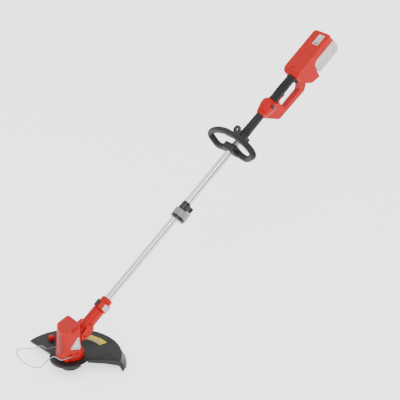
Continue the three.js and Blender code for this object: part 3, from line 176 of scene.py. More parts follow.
def spline(points, per=8, closed=False):
    """A smooth curve through the points."""
    points = [Vector(p) for p in points]
    count = len(points)
    out = []
    for i in range(count if closed else count - 1):
        pick = [points[k % count] if closed else points[max(0, min(count - 1, k))]
                for k in range(i - 1, i + 3)]
        p0, p1, p2, p3 = pick
        for k in range(per):
            t = k / per
            out.append(0.5 * ((2 * p1) + (p2 - p0) * t + (2 * p0 - 5 * p1 + 4 * p2 - p3) * t * t
                              + (3 * p1 - p0 - 3 * p2 + p3) * t ** 3))
    if not closed:
        out.append(points[-1])
    return out


# ---------- solids, as bmeshes ----------
def finished(bm):
    bmesh.ops.remove_doubles(bm, verts=bm.verts, dist=1e-5)
    bmesh.ops.recalc_face_normals(bm, faces=bm.faces)
    return bm


def loft(rings, wrap=False, caps=True):
    """Skins a list of rings of equal count; wrap joins the last to the first."""
    bm = bmesh.new()
    rows = [[bm.verts.new(p) for p in ring] for ring in rings]
    count = len(rows[0])
    pairs = list(zip(rows, rows[1:] + rows[:1] if wrap else rows[1:]))
    for low, high in pairs:
        for i in range(count):
            j = (i + 1) % count
            bm.faces.new((low[i], low[j], high[j], high[i]))
    if caps and not wrap:
        bm.faces.new(rows[0][::-1])
        bm.faces.new(rows[-1])
    return finished(bm)


def place(axis, along, a, b):
    return {"x": (along, a, b), "y": (a, along, b), "z": (a, b, along)}[axis]


def turned(profile, axis="x", sides=72, centre=(0, 0), start=0, stop=360):
    """Revolves (radius, station[, corner radius]) about an axis, all round or over a sector."""
    whole = stop - start >= 360
    line = rounded(profile, closed=True, steps=4)
    steps = sides if whole else max(2, round(sides * (stop - start) / 360))
    rings = []
    for i in range(steps if whole else steps + 1):
        a = math.radians(start + (stop - start) * i / steps)
        ring = []
        for r, t in line:
            r = max(r, 0.02)
            ring.append(place(axis, t, centre[0] + r * math.cos(a), centre[1] + r * math.sin(a)))
        rings.append(ring)
    return loft(rings, wrap=whole)


def hoop(inner, outer, low, high, axis, sides, centre=(0, 0), **sector):
    """A ring of rectangular section, or a plain cylinder where inner is 0."""
    return turned([(inner, low), (outer, low), (outer, high), (inner, high)], axis, sides, centre, **sector)


def prism(points, low, high, soft=0, axis="y", steps=3, corner_steps=5):
    """An outline thickened along an axis, its rims rounded by soft."""
    bm = bmesh.new()
    outline = rounded(points, steps=corner_steps)
    base = bm.faces.new([bm.verts.new(place(axis, low, a, b)) for a, b in outline])
    top = bmesh.ops.extrude_face_region(bm, geom=[base])
    push = Vector(place(axis, high - low, 0, 0))
    moved = [g for g in top["geom"] if isinstance(g, bmesh.types.BMVert)]
    bmesh.ops.translate(bm, verts=moved, vec=push)
    bmesh.ops.recalc_face_normals(bm, faces=bm.faces)
    if soft:
        k = "xyz".index(axis)
        rims = [e for e in bm.edges if abs(e.verts[0].co[k] - e.verts[1].co[k]) < 1e-6]
        bmesh.ops.bevel(bm, geom=rims, offset=soft, segments=steps, profile=0.5, affect="EDGES",
                        clamp_overlap=True)
    return finished(bm)


def sweep(path, section, side=None, closed=False):
    """A section (a, b) carried along a path; side is a fixed direction across a flat path."""
    path = [Vector(p) for p in path]
    count = len(path)
    rings = []
    across = Vector(side) if side else None
    for i, here in enumerate(path):
        ahead = path[(i + 1) % count] if closed else path[min(i + 1, count - 1)]
        back = path[i - 1] if closed else path[max(i - 1, 0)]
        tangent = (ahead - back).normalized()
        if side is None:
            across = across if across else tangent.orthogonal()
            across = (across - tangent * across.dot(tangent)).normalized()
        up = tangent.cross(across)
        shape = section(i / (count - 1)) if callable(section) else section
        rings.append([here + across * a + up * b for a, b in shape])
    return loft(rings, wrap=closed)


def circle(r, sides=16, squash=1.0):
    return [(r * math.cos(2 * math.pi * i / sides), r * squash * math.sin(2 * math.pi * i / sides))
            for i in range(sides)]


def box(x0, x1, y0, y1, z0, z1, soft=0):
    return prism([(x0, z0), (x1, z0), (x1, z1), (x0, z1)], y0, y1, soft)


def merged(*parts):
    """Several bmeshes as one, still separate shells."""
    out = bmesh.new()
    for part in parts:
        mesh = bpy.data.meshes.new("part")
        part.to_mesh(mesh)
        part.free()
        out.from_mesh(mesh)
        bpy.data.meshes.remove(mesh)
    return out


# ---------- operations by modifiers ----------
def stand_in(bm):
    mesh = bpy.data.meshes.new("work")
    bm.to_mesh(mesh)
    bm.free()
    work = bpy.data.objects.new("work", mesh)
    bpy.context.scene.collection.objects.link(work)
    return work


def baked(work, *helpers):
    """The bmesh of an object after its modifiers; the object and its helpers go."""
    graph = bpy.context.evaluated_depsgraph_get()
    out = bmesh.new()
    out.from_object(work, graph)
    for used in (work, *helpers):
        data = used.data
        bpy.data.objects.remove(used)
        bpy.data.meshes.remove(data)
    return out


def melted(voxel, rounds, *parts):
    """Parts run together into one skin, their edges and joints softened."""
    work = stand_in(merged(*parts))
    remesh = work.modifiers.new("remesh", "REMESH")
    remesh.mode = "VOXEL"
    remesh.voxel_size = voxel
    smooth = work.modifiers.new("smooth", "SMOOTH")
    smooth.factor = 0.5
    smooth.iterations = rounds
    return baked(work)


def combined(first, operation, *others):
    """First joined with, cut by or kept inside each of the others."""
    work = stand_in(first)
    helpers = []
    for other in others:
        tool = stand_in(other)
        helpers.append(tool)
        step = work.modifiers.new("combine", "BOOLEAN")
        step.operation = operation
        step.solver = "MANIFOLD"
        step.object = tool
    return baked(work, *helpers)


def cut(first, *others):
    return combined(first, "DIFFERENCE", *others)


def joined(first, *others):
    return combined(first, "UNION", *others)


# ---------- pieces ----------
def piece(name, bm, body, mat, replaces=(), at=SHAFT, sharp=38):
    bm.transform(at)
    mesh = bpy.data.meshes.new(name)
    bm.to_mesh(mesh)
    bm.free()
    mesh.shade_smooth()
    mesh.set_sharp_from_angle(angle=math.radians(sharp))
    made = bpy.data.objects.new(name, mesh)
    mesh.materials.append(mat)
    made.modifiers.new("even normals", "WEIGHTED_NORMAL").keep_sharp = True
    bpy.context.scene.collection.objects.link(made)
    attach(made, body)
    if replaces:
        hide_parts(*replaces)
    return made


SPLIT = 0.18  # half the gap of a moulding's parting line
FAR = 400


def shells(names, bm, body, mat, at=SHAFT, span=(-FAR, 1600)):
    """A moulding parted along its middle plane into a left and a right shell."""
    for name, low, high in ((names[0], -SPLIT, FAR), (names[1], -FAR, SPLIT)):
        half = cut(bm.copy(), box(span[0], span[1], low, high, -FAR, FAR))
        piece(name + "_skin", half, body, mat, (name,), at)
    bm.free()


def screw(name, x, y, z, axis, r, body, at, replaces=(), facing=1, mat=STEEL):
    """A button-head screw with a socket, its head standing along an axis."""
    tall = 0.55 * r
    head = turned([(0, 0), (r, 0), (r, tall * 0.5, r * 0.3), (r * 0.6, tall, r * 0.2), (0, tall)], axis, 28)
    socket = turned([(0, tall * 0.4), (r * 0.42, tall * 0.4), (r * 0.42, tall * 3), (0, tall * 3)], axis, 6)
    bm = cut(head, socket)
    if facing < 0:
        bm.transform(Matrix.Scale(-1, 4, Vector(place(axis, 1, 0, 0))))
        bmesh.ops.reverse_faces(bm, faces=bm.faces)
    bm.transform(Matrix.Translation((x, y, z)))
    return piece(name, bm, body, mat, replaces, at)


# ---------- head: motor housing ----------
HEAD = "head"
PIVOT = (44.13, 121.48)
NOSE_X, LEAN, BOW_R = -48, 0.1, 55.6
ROOF_X, ROOF_Z, ROOF_SLOPE = -36.6, 160, 0.4


def nose_arc(r, z, half, steps=24):
    """The bowed front at a height: points (x, y, z) from the left corner round to the right one."""
    cx = NOSE_X + BOW_R + LEAN * (z - DECK_Z)
    turn = math.asin(half / r)
    return [(cx - r * math.cos(t), r * math.sin(t), z)
            for t in (turn * (2 * i / steps - 1) for i in range(steps + 1))]


def bowed(inset, top=230):
    """The space behind the bowed, leaning front, as a tall loft."""
    half = 38 - inset
    return loft([nose_arc(BOW_R - inset, z, half) + [(80, half, z), (80, -half, z)] for z in (0, top)])


def housing():
    body = prism([(NOSE_X - 2, 48.3, 14), (ROOF_X - 2, ROOF_Z - 0.8, 9), (31, 187, 12), (31, 48.3, 2)],
                 -38, 38, 5, steps=4)
    cornered = prism([(-80, -38), (22, -38, 6), (31, -24, 6), (31, 24, 6), (22, 38, 6), (-80, 38)], 0, 230,
                     axis="z")
    body = combined(body, "INTERSECT", bowed(0), cornered)
    base = turned([(0, 46.4), (45, 46.4, 1.5), (45, 72, 7), (0, 72)], "z", 96, (5, 0))
    ears = []
    for low, high in ((21.3, 26.3), (-26.3, -21.3)):
        ears.append(prism([(20, 108.5), (20, 134.5), (44, 134.5), (44, 108.5)], low, high, 0.5))
        ears.append(hoop(0, 13, low, high, "y", 48, PIVOT))
    skin = melted(1.0, 5, body, base, *ears)
    face = prism([(-24, 148, 5), (24, 148, 5), (27, 92), (27, 82, 18), (0, 60, 18), (-27, 82, 18), (-27, 92)],
                 -90, 0, axis="x")
    tools = [cut(face, bowed(1.7)),
             hoop(0, 1.95, -60, 60, "y", 20, (-14, 69)), hoop(0, 3.3, -30, 30, "y", 24, PIVOT),
             hoop(0, 37.6, 40, 47.2, "z", 72, (5, 0)), box(34, 70, -21.3, 21.3, 96, 150)]
    for drop in (7, 16):
        for side in (1, -1):
            z0 = ROOF_Z - drop + ROOF_SLOPE * (-12 - ROOF_X)
            z1 = ROOF_Z - drop + ROOF_SLOPE * (22 - ROOF_X)
            tools.append(prism([(-12, z0 - 1.7, 1.5), (22, z1 - 1.7, 1.5), (22, z1 + 1.7, 1.5),
                                (-12, z0 + 1.7, 1.5)],
                               33 if side > 0 else -60, 60 if side > 0 else -33))
    return cut(skin, *tools)


shells(("motor_housing_right", "motor_housing_left"), housing(), HEAD, RED, ROW, (-90, 90))
for side, label in ((1, "right"), (-1, "left")):
    # The dark plates under the vent slots are painted shade, standing in for the shadowed inside of the
    # housing.
    low, high = sorted((30.5 * side, 32.8 * side))
    piece(f"vent_painted_shade_{label}", prism([(-15, 149), (24, 163), (24, 179.6), (-15, 165)], low, high), HEAD,
          PAINTED_SHADE, at=ROW)
    low, high = sorted((37.4 * side, 40.4 * side))
    piece(f"wire_boss_{label}", turned([(2.1, low), (6.4, low), (6.4, high, 1.2), (2.1, high)], "y", 32,
                                       (-14, 69)), HEAD, RED, at=ROW)
# The front panel is an inlay in the recess, coloured a darker red than the rest of the housing.
panel = prism([(-23.6, 147.6, 5), (23.6, 147.6, 5), (26.6, 92), (26.6, 82.2, 18), (0, 60.4, 18),
               (-26.6, 82.2, 18), (-26.6, 92)], -90, 0, axis="x")
panel = cut(combined(panel, "INTERSECT", bowed(1.0)), bowed(2.0))
piece("front_panel", panel, HEAD, DARKER_RED, at=ROW)
TRIANGLE = [(16, 136, 3), (-19, 96, 3), (21, 83, 3)]
middle = (6, 105)


def shrunk(points, centre, k):
    return [(centre[0] + (p[0] - centre[0]) * k, centre[1] + (p[1] - centre[1]) * k, *p[2:]) for p in points]


piece("warning_label", prism(TRIANGLE, -38.3, -37.9), HEAD, LABEL, at=ROW)
piece("warning_mark", cut(prism(shrunk(TRIANGLE, middle, 0.80), -38.45, -38.1),
                          prism(shrunk(TRIANGLE, middle, 0.66), -39, -37)), HEAD, GREY, at=ROW)
for i in range(4):
    screw(f"housing_screw_{i + 1}", (-20, 16, -16, 18)[i], 37.9, (90, 80, 136, 150)[i], "y", 2.6, HEAD, ROW)


# ---------- head: guard ----------
def polar(r, degrees):
    return (r * math.cos(math.radians(degrees)), r * math.sin(math.radians(degrees)))


KNOB_AT = polar(124, 89)
GUARD_FROM, GUARD_SWEEP = -46, 154  # degrees


def fan(inner, outer, a0, a1, steps=60):
    ring = [polar(outer, a0 + (a1 - a0) * i / steps) for i in range(steps + 1)]
    return ring + [polar(inner, a1 + (a0 - a1) * i / steps) for i in range(steps + 1)]


def wall_between(a, b, outline, thick):
    """An upright plate over the line from a to b, its outline given as (along, z)."""
    bm = prism(outline, -thick / 2, thick / 2, 0.5)
    bm.transform(Matrix.Translation((a[0], a[1], 0))
                 @ Matrix.Rotation(math.atan2(b[1] - a[1], b[0] - a[0]), 4, "Z"))
    return bm


def guard():
    steps = 72
    rim = [polar(178, GUARD_FROM + GUARD_SWEEP * i / steps) for i in range(steps + 1)]
    hub = [polar(70, 128 + 172 * i / 60) for i in range(61)]
    deck = prism(rim + hub, DECK_Z - 2.6, DECK_Z, 0.7, "z")
    rings = []
    for i in range(steps + 1):
        f = 1 - i / steps
        low = 36 - 24 * min(1, f * 1.6)
        flare = 15 * (DECK_Z - low) / 34
        section = [(179 + flare * t ** 1.6, DECK_Z - (DECK_Z - low) * t) for t in (0.06, 0.3, 0.6, 1)]
        section += [(r - 2.4, z + (0.3 if z < 45 else -2.4)) for r, z in section[::-1]]
        section += [(175, DECK_Z - 2.4), (175, DECK_Z), (178, DECK_Z)]
        a = GUARD_FROM + GUARD_SWEEP * i / steps
        rings.append([(*polar(r, a), z) for r, z in section])
    skirt = loft(rings)
    ring = turned([(67.4, 36), (70, 36), (70, 45, 0.8), (67.4, 45)], "z", 96, start=90, stop=270)
    wall_a, wall_b = polar(66, -58), polar(191, GUARD_FROM)
    span = math.dist(wall_a, wall_b)
    wall = wall_between(wall_a, wall_b, [(0, 45), (0, 33), (span / 2, 30, 40), (span - 24, 25, 8),
                                         (span - 17, 20, 6), (span - 8, 2, 3), (span - 3, 3, 2),
                                         (span, 12, 6), (span - 4, 32), (span - 14, 45)], 2.6)
    lip_a, lip_b = polar(68, 128), polar(177, 108)
    lip = wall_between(lip_a, lip_b, [(0, 37), (math.dist(lip_a, lip_b), 37), (math.dist(lip_a, lip_b), 45.2),
                                      (0, 45.2)], 2.6)
    ribs = []
    for a0, a1 in ((polar(128, -5), polar(176, -4)), ((54, -86), (79, -74)), ((79, -74), (113, -67)),
                   (polar(74, 20), polar(112, 26)), (polar(74, 70), polar(150, 74))):
        length = math.dist(a0, a1)
        rib = sweep([(0, 0, 0), (length, 0, 0)], [(1.6, -0.6), (0.7, 0.9), (-0.7, 0.9), (-1.6, -0.6)],
                    side=(0, 1, 0))
        rib.transform(Matrix.Translation((a0[0], a0[1], DECK_Z))
                      @ Matrix.Rotation(math.atan2(a1[1] - a0[1], a1[0] - a0[0]), 4, "Z"))
        ribs.append(rib)
    pad = turned([(0, 43.6), (9, 43.6), (9, 47.6, 1.5), (0, 47.6)], "z", 48, KNOB_AT)
    whole = joined(deck, skirt, ring, wall, lip, pad, *ribs)
    holes = [hoop(0, 13, 20, 80, "z", 48),
             hoop(0, 3.3, 20, 80, "z", 32, KNOB_AT)]
    for a in (45, 135, 225, 315):
        x, y = polar(30, a)
        holes.append(hoop(0, 2.3, 20, 80, "z", 20, (x + 5, y)))
    return cut(whole, *holes)


piece("guard_skin", guard(), HEAD, BLACK, ("guard",), ROW)
piece("guard_label", prism(fan(119, 148, -2, 34), DECK_Z - 0.1, DECK_Z + 0.3, axis="z"), HEAD, YELLOW, at=ROW)
piece("guard_label_strip", prism(fan(122, 129, 0, 32), DECK_Z, DECK_Z + 0.42, axis="z"), HEAD, GREY, at=ROW)
for i in range(4):
    a = 3 + 8 * i
    piece(f"guard_label_mark_{i + 1}", prism(fan(133, 144, a, a + 4.5, 6), DECK_Z, DECK_Z + 0.42, axis="z"),
          HEAD, GREY if i % 2 else YELLOW, at=ROW)


# ---------- head: knob, wire, spool and button ----------
knob = turned([(0, 37.4), (3, 37.4), (3, 46.4), (8, 46.4, 1), (8.6, 48, 0.6), (10, 50.5, 1), (10, 60, 1),
               (7.6, 65, 3), (0, 66.7)], "z", 120, KNOB_AT)
piece("guard_knob_skin", joined(knob, *[
    turned([(0, 50.5), (1.3, 50.5), (1.3, 61, 0.9), (0, 61)], "z", 12,
           (KNOB_AT[0] + 9.3 * math.cos(k * math.pi / 8), KNOB_AT[1] + 9.3 * math.sin(k * math.pi / 8)))
    for k in range(16)]), "guard_knob", RED, ("guard_knob",), ROW)
WIRE_LINE = [(-14, 35, 69), (-14, 44, 69), (-62, 45, 73), (-85, 43, 98), (-103, 42, 95), (-161, 73, 95),
             (-174, 55, 95), (-182, 32, 95), (-186, 0, 95)]


def bent(points, reach):
    """A path of straight runs whose corners turn within reach."""
    points = [Vector(p) for p in points]
    out = [points[0]]
    for before, here, after in zip(points, points[1:], points[2:]):
        a = here + (before - here).normalized() * min(reach, 0.45 * (before - here).length)
        b = here + (after - here).normalized() * min(reach, 0.45 * (after - here).length)
        out += [a.lerp(here, t).lerp(here.lerp(b, t), t) for t in (0, 0.2, 0.4, 0.6, 0.8, 1)]
    return out + [points[-1]]


wire_path = bent(WIRE_LINE + [(x, -y, z) for x, y, z in WIRE_LINE[-2::-1]], 7)
piece("wire_guard_rod", sweep(wire_path, circle(1.6, 14)), "wire_guard", STEEL, ("wire_guard",), ROW)

spool = turned([(15.3, 3), (28, 3, 2), (34, 6, 2), (36, 11, 2), (36, 27.7, 0.6), (33.4, 27.7), (33.4, 9),
                (15.3, 5.6)], "z", 120)
ribs = []
for k in range(12):
    a = math.radians(15 + 30 * k)
    rib = box(31, 36.9, -1.6, 1.6, 9.5, 25.5, 0.6)
    rib.transform(Matrix.Rotation(a, 4, "Z"))
    ribs.append(rib)
holes = [hoop(0, 2.9, 20, 50, "x", 20, (0, 17.5)),
         hoop(0, 2.9, -50, -20, "x", 20, (0, 17.5))]
piece("spool_housing_skin", cut(joined(spool, *ribs), *holes), "spool", BLACK, ("spool_housing",), ROW)
piece("spool_lid_skin", turned([(4.3, 28), (36, 28, 0.5), (36, 31, 1), (10, 32, 1), (10, 50, 0.5), (4.3, 50)],
                               "z", 96), "spool", GREY, ("spool_lid",), ROW)
button = turned([(0, 0), (10, 0, 3), (14, 1.2, 1), (15, 3.5, 1), (15, 6.5), (17.1, 6.5), (17.1, 8.1),
                 (11, 8.5), (11, 11), (0, 11)], "z", 96)
grooves = [hoop(r, r + 1, -1, 0.5, "z", 72) for r in (4, 7)]
coil = [(8 * math.cos(t), 8 * math.sin(t), 12 + 15 * t / (8 * math.pi)) for t in
        (8 * math.pi * i / 160 for i in range(161))]
spring = piece("tap_spring_skin", sweep(coil, circle(0.7, 10)), "spool", STEEL, ("tap_spring",), ROW)
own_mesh(spring)
piece("tap_button_skin", cut(button, *grooves), "tap_button", BLACK_GLOSS, ("tap_button",), ROW)

# ---------- neck ----------
drum = turned([(0, -21), (20, -21, 2), (20, 21, 2), (0, 21)], "y", 72, (TILT_S, 0))
barrel = turned([(0, 56), (19, 56), (19.5, 68), (22, 92, 8), (22, 155, 2), (20.5, 159, 1.5), (15, 159),
                 (15, 172), (0, 172)], "x", 96)
cheeks = []
for low, high in ((26.6, 30.6), (-30.6, -26.6)):
    cheeks.append(hoop(0, 14, low, high, "y", 64, (TILT_S, 0)))
    cheeks.append(prism([(56, -14), (78, -17, 8), (96, -12, 4), (96, 12, 4), (78, 17, 8), (56, 14)], low,
                        high, 0.8))
for low, high in ((11, 30.6), (-30.6, -11)):
    cheeks.append(prism([(78, -16, 5), (96, -12, 4), (105, 0, 6), (96, 12, 4), (78, 16, 5)], low, high, 2))
neck = melted(1.0, 4, drum, barrel, *cheeks)
seam = hoop(21.4, 24, 151, 151.8, "x", 72)
neck = cut(neck, hoop(0, 3.3, -40, 40, "y", 24, (TILT_S, 0)), seam)
shells(("neck_right", "neck_left"), neck, "neck", RED, span=(0, 200))
for i, s in enumerate((112, 142)):
    screw(f"neck_screw_{i + 1}", s, 20.9, -5, "y", 2.8, "neck", SHAFT)

# ---------- collar under the lower tube ----------
collar = turned([(12.8, COLLAR_S + 0.1), (26, COLLAR_S + 0.1), (27, COLLAR_S + 1.5, 1),
                 (27, COLLAR_S + 26.5, 1.2), (25.5, COLLAR_S + 28), (20.5, COLLAR_S + 29, 1),
                 (20.5, COLLAR_S + 44, 2), (17.5, COLLAR_S + 46.9, 1), (12.8, COLLAR_S + 46.9)], "x", 112)
collar = cut(collar, box(COLLAR_S + 3, COLLAR_S + 25, -8, 8, 20, 40, 1),
             hoop(26.4, 30, COLLAR_S + 0.7, COLLAR_S + 2.7, "x", 96),
             hoop(20, 23, COLLAR_S + 34.7, COLLAR_S + 35.7, "x", 96))
piece("neck_collar_skin", collar, "lower_shaft", RED, ("neck_collar",))


def band(r, t, s0, s1, a0, a1, steps=40):
    return hoop(r, r + t, s0, s1, "x", steps * 360 // max(1, int(a1 - a0)),
                  start=a0, stop=a1)


piece("collar_label", band(26.85, 0.35, COLLAR_S + 4.2, COLLAR_S + 24.7, 150, 262), "lower_shaft", LABEL)
for i in range(3):
    piece(f"collar_label_mark_{i + 1}", band(26.9, 0.45, COLLAR_S + 7.7 + i * 5, COLLAR_S + 9.7 + i * 5,
                                             172, 240 - 12 * i),
          "lower_shaft", GREY)
swivel = joined(box(COLLAR_S + 3.7, COLLAR_S + 24.3, -7.4, 7.4, 23.2, 30, 2), *[
    box(COLLAR_S + 6.7 + 3.2 * k, COLLAR_S + 8.3 + 3.2 * k, -6, 6, 29, 30.9, 0.4) for k in range(5)])
piece("swivel_button_skin", swivel, "swivel_button", BLACK_GLOSS, ("swivel_button",))


# ---------- tubes ----------
def tube(r, wall, s0, s1):
    return turned([(r - wall, s0), (r, s0, 0.4), (r, s1, 0.4), (r - wall, s1)], "x", 96)


piece("lower_tube_skin", tube(LOWER_R, TUBE_WALL, LOWER_S0, LOWER_S1), "lower_shaft", TUBE, ("lower_tube",))
piece("upper_tube_skin", tube(UPPER_R, TUBE_WALL, UPPER_S0, UPPER_S1), "handle", TUBE, ("upper_tube",))


# ---------- length lock between the tubes, drawn in its own turned frame ----------
def lock_body():
    core = turned([(14.4, LOCK_S + 0.1), (15.8, LOCK_S + 0.1), (19.4, LOCK_S + 10, 2),
                   (19.4, LOCK_S + 36, 0.5), (17, LOCK_S + 37, 0.6),
                   (16.4, LOCK_S + 64, 1), (15.3, LOCK_S + 69.9, 1), (14.4, LOCK_S + 69.9)], "x", 96)
    rim = turned([(10, LOCK_S + 0.1), (27.5, LOCK_S + 0.1, 2), (27.5, LOCK_S + 10.6, 2),
                  (10, LOCK_S + 10.6)], "x", 96, (-7, 0))
    ear = box(LOCK_S + 44, LOCK_S + 64, -32, -12, -9, 9, 1.6)
    lug = turned([(0, LOCK_S + 36.5), (5, LOCK_S + 36.5, 0.6), (5, LOCK_S + 42, 1), (0, LOCK_S + 42)], "x",
                 32, (-30.5, -9))
    web = box(LOCK_S + 36.5, LOCK_S + 42, -30.5, -12, -13, -5, 0.6)
    bore = hoop(0, 14.35, LOCK_S - 10.3, LOCK_S + 79.7, "x", 96)
    slit = box(LOCK_S + 40.2, LOCK_S + 79.7, -60, -5, -1, 1, 0)
    bolt = hoop(0, 5.3, 5, 30, "z", 32, (LOCK_S + 54, -25))
    grooves = [hoop(15.9, 20, s, s + 0.9, "x", 72) for s in (LOCK_S + 40.7, LOCK_S + 59.7)]
    return cut(joined(core, rim, ear, lug, web), bore, slit, bolt, *grooves)


piece("lock_body_skin", lock_body(), "handle", BLACK_GLOSS, ("lock_body",), LOCK)
screw("lock_bolt_head", LOCK_S + 54, -25, 5.2, "z", 4.6, "handle", LOCK, ("lock_bolt",), mat=BLACK_GLOSS)


def lock_lever():
    half = turned([(18, LOCK_S + 11.1), (29, LOCK_S + 11.1, 2.5), (29, LOCK_S + 35.9, 2.5),
                   (18, LOCK_S + 35.9)], "x", 96, (-7, 0))
    barrel = turned([(0, LOCK_S + 11.1), (5, LOCK_S + 11.1, 0.6), (5, LOCK_S + 35.9, 0.6),
                     (0, LOCK_S + 35.9)], "x", 32, (-30.5, -9))
    inner = hoop(0, 20, LOCK_S - 0.3, LOCK_S + 49.7, "x", 96)
    under = box(LOCK_S - 0.3, LOCK_S + 49.7, -60, 0, -60, -7, 0)
    free = box(LOCK_S - 0.3, LOCK_S + 49.7, -0.01, 60, -60, 2, 0)
    rib = [turned([(28.6, s), (29.5, s), (29.5, s + 1.4, 0.4), (28.6, s + 1.4)], "x", 96, (-7, 0), start=20,
                  stop=150)
           for s in (LOCK_S + 16.7, LOCK_S + 20.7, LOCK_S + 24.7, LOCK_S + 28.7)]
    shell = cut(half, inner, under, free)
    return joined(shell, barrel, *rib)


piece("lock_lever_skin", lock_lever(), "lock_lever", GREY, ("lock_lever",), LOCK)

# ---------- strap clamp and tube sleeve ----------
clamp_band = turned([(BORE_R, STRAP_S - 10), (18.5, STRAP_S - 10, 1.4), (18.5, STRAP_S + 10, 1.4),
                     (BORE_R, STRAP_S + 10)], "x", 96)
eye = turned([(5.5, -4.5), (15, -4.5, 1.8), (15, 4.5, 1.8), (5.5, 4.5)], "y", 72, (STRAP_S, 42))
web = prism([(STRAP_S - 10.3, 14.9), (STRAP_S + 10.3, 14.9), (STRAP_S + 7.7, 36), (STRAP_S - 7.7, 36)],
            -4.5, 4.5, 0.8)
foot = box(STRAP_S - 9, STRAP_S + 9, -10, 10, -30.5, -14.8, 1.8)
strap = joined(clamp_band, eye, web, foot, *[
    turned([(18.1, s), (19.4, s, 0.4), (19.4, s + 1.6, 0.4), (18.1, s + 1.6)], "x",
           96) for s in (STRAP_S - 7.8, STRAP_S - 0.8, STRAP_S + 6.2)])
strap = cut(strap, hoop(0, BORE_R, STRAP_S - 19.3, SLEEVE_S + 10.4, "x", 96),
            hoop(0, 5.5, -8, 8, "y", 48, (STRAP_S, 42)),
            box(STRAP_S - 19.3, SLEEVE_S + 10.4, -1.1, 1.1, -60, -5))
piece("strap_clamp_skin", strap, "handle", BLACK, ("strap_clamp",))
screw("strap_bolt_head", STRAP_S, -10.2, -23.5, "y", 5.3, "handle", SHAFT, ("strap_clamp_bolt",), -1,
      BLACK_GLOSS)
sleeve = turned([(BORE_R, SLEEVE_S + 0.2), (17.5, SLEEVE_S + 0.2, 1), (17.5, SLEEVE_S + 12, 1.5),
                 (16.9, SLEEVE_S + 16.4, 2), (15.4, SLEEVE_S + 87.8, 0.8),
                 (BORE_R, SLEEVE_S + 87.8)], "x", 96)
piece("shaft_sleeve_skin", cut(sleeve, *[
    turned([(15.6, s), (20, s), (20, s + 0.9, 0), (15.6, s + 0.9)], "x",
           96) for s in (SLEEVE_S + 20.4 + 9 * k for k in range(7))]),
    "handle", RUBBER, ("shaft_sleeve",))

# ---------- front loop handle, drawn in its own leaning frame ----------
LOOP_LINE = [(0, 63), (-30, 63), (-74, 53), (-107, 37), (-119, 19), (-103, 3), (-78, -10), (-40, -7), (0, -7),
             (40, -7), (78, -10), (103, 3), (119, 19), (107, 37), (74, 53), (30, 63)]
loop_path = [(0, y, z) for y, z in spline(LOOP_LINE, 10, closed=True)]
loop_bar = sweep(loop_path, [(11.6 * math.copysign(abs(math.cos(t)) ** 0.86, math.cos(t)),
                              11.6 * math.copysign(abs(math.sin(t)) ** 0.86, math.sin(t)))
                             for t in [2 * math.pi * i / 28 for i in range(28)]], side=(1, 0, 0), closed=True)
SQUARE = Matrix.Rotation(-LOOP_TILT, 4, "Y")
hub = prism([(-13, -24, 5), (13, -24, 5), (13, 24, 5), (-13, 24, 5)], -30, 30, 3)
hub.transform(SQUARE)
hub_ribs = []
for k in range(7):
    y = -27 + 9 * k
    rib = box(-14.4, 14.4, y - 1.1, y + 1.1, -22, 22, 0.6)
    rib.transform(SQUARE)
    hub_ribs.append(rib)
shaft_hole = hoop(0, BORE_R, -60, 60, "x", 96)
shaft_hole.transform(SQUARE)
screws = []
for y in (-24, 24):
    tool = hoop(0, 4.9, -26, -20, "z", 32, (0, y))
    tool.transform(SQUARE)
    screws.append(tool)
loop_solid = melted(1.25, 3, loop_bar, hub, *hub_ribs)
under = box(-16.5, 16.5, -31.5, 31.5, -40, 0)
under.transform(SQUARE)
loop_solid = cut(loop_solid, shaft_hole)
cap = combined(loop_solid.copy(), "INTERSECT", under.copy())
gap = box(-16.8, 16.8, -31.8, 31.8, -40, 0.4)
gap.transform(SQUARE)
under.free()
piece("loop_handle_skin", cut(loop_solid, gap), "loop_handle", BLACK, ("loop_handle",), LOOP)
piece("handle_clamp_cap_skin", cut(cap, *screws), "loop_handle", BLACK, ("handle_clamp_cap",), LOOP)
for i, y in enumerate((-24, 24)):
    screw(f"clamp_screw_{i + 1}_head", 0, y, -23.2, "z", 4.3, "loop_handle", LOOP @ SQUARE,
          (f"clamp_screw_{i + 1}",), -1)

# ---------- rear handle ----------
HANDLE = "handle"
OPENING = [(GRIP_S + 14, -8), (GRIP_S + 14, -58, 9), (GRIP_S + 102, -57, 10), (HOUSE_S + 3, -40, 8),
           (HOUSE_S + 3, -8)]


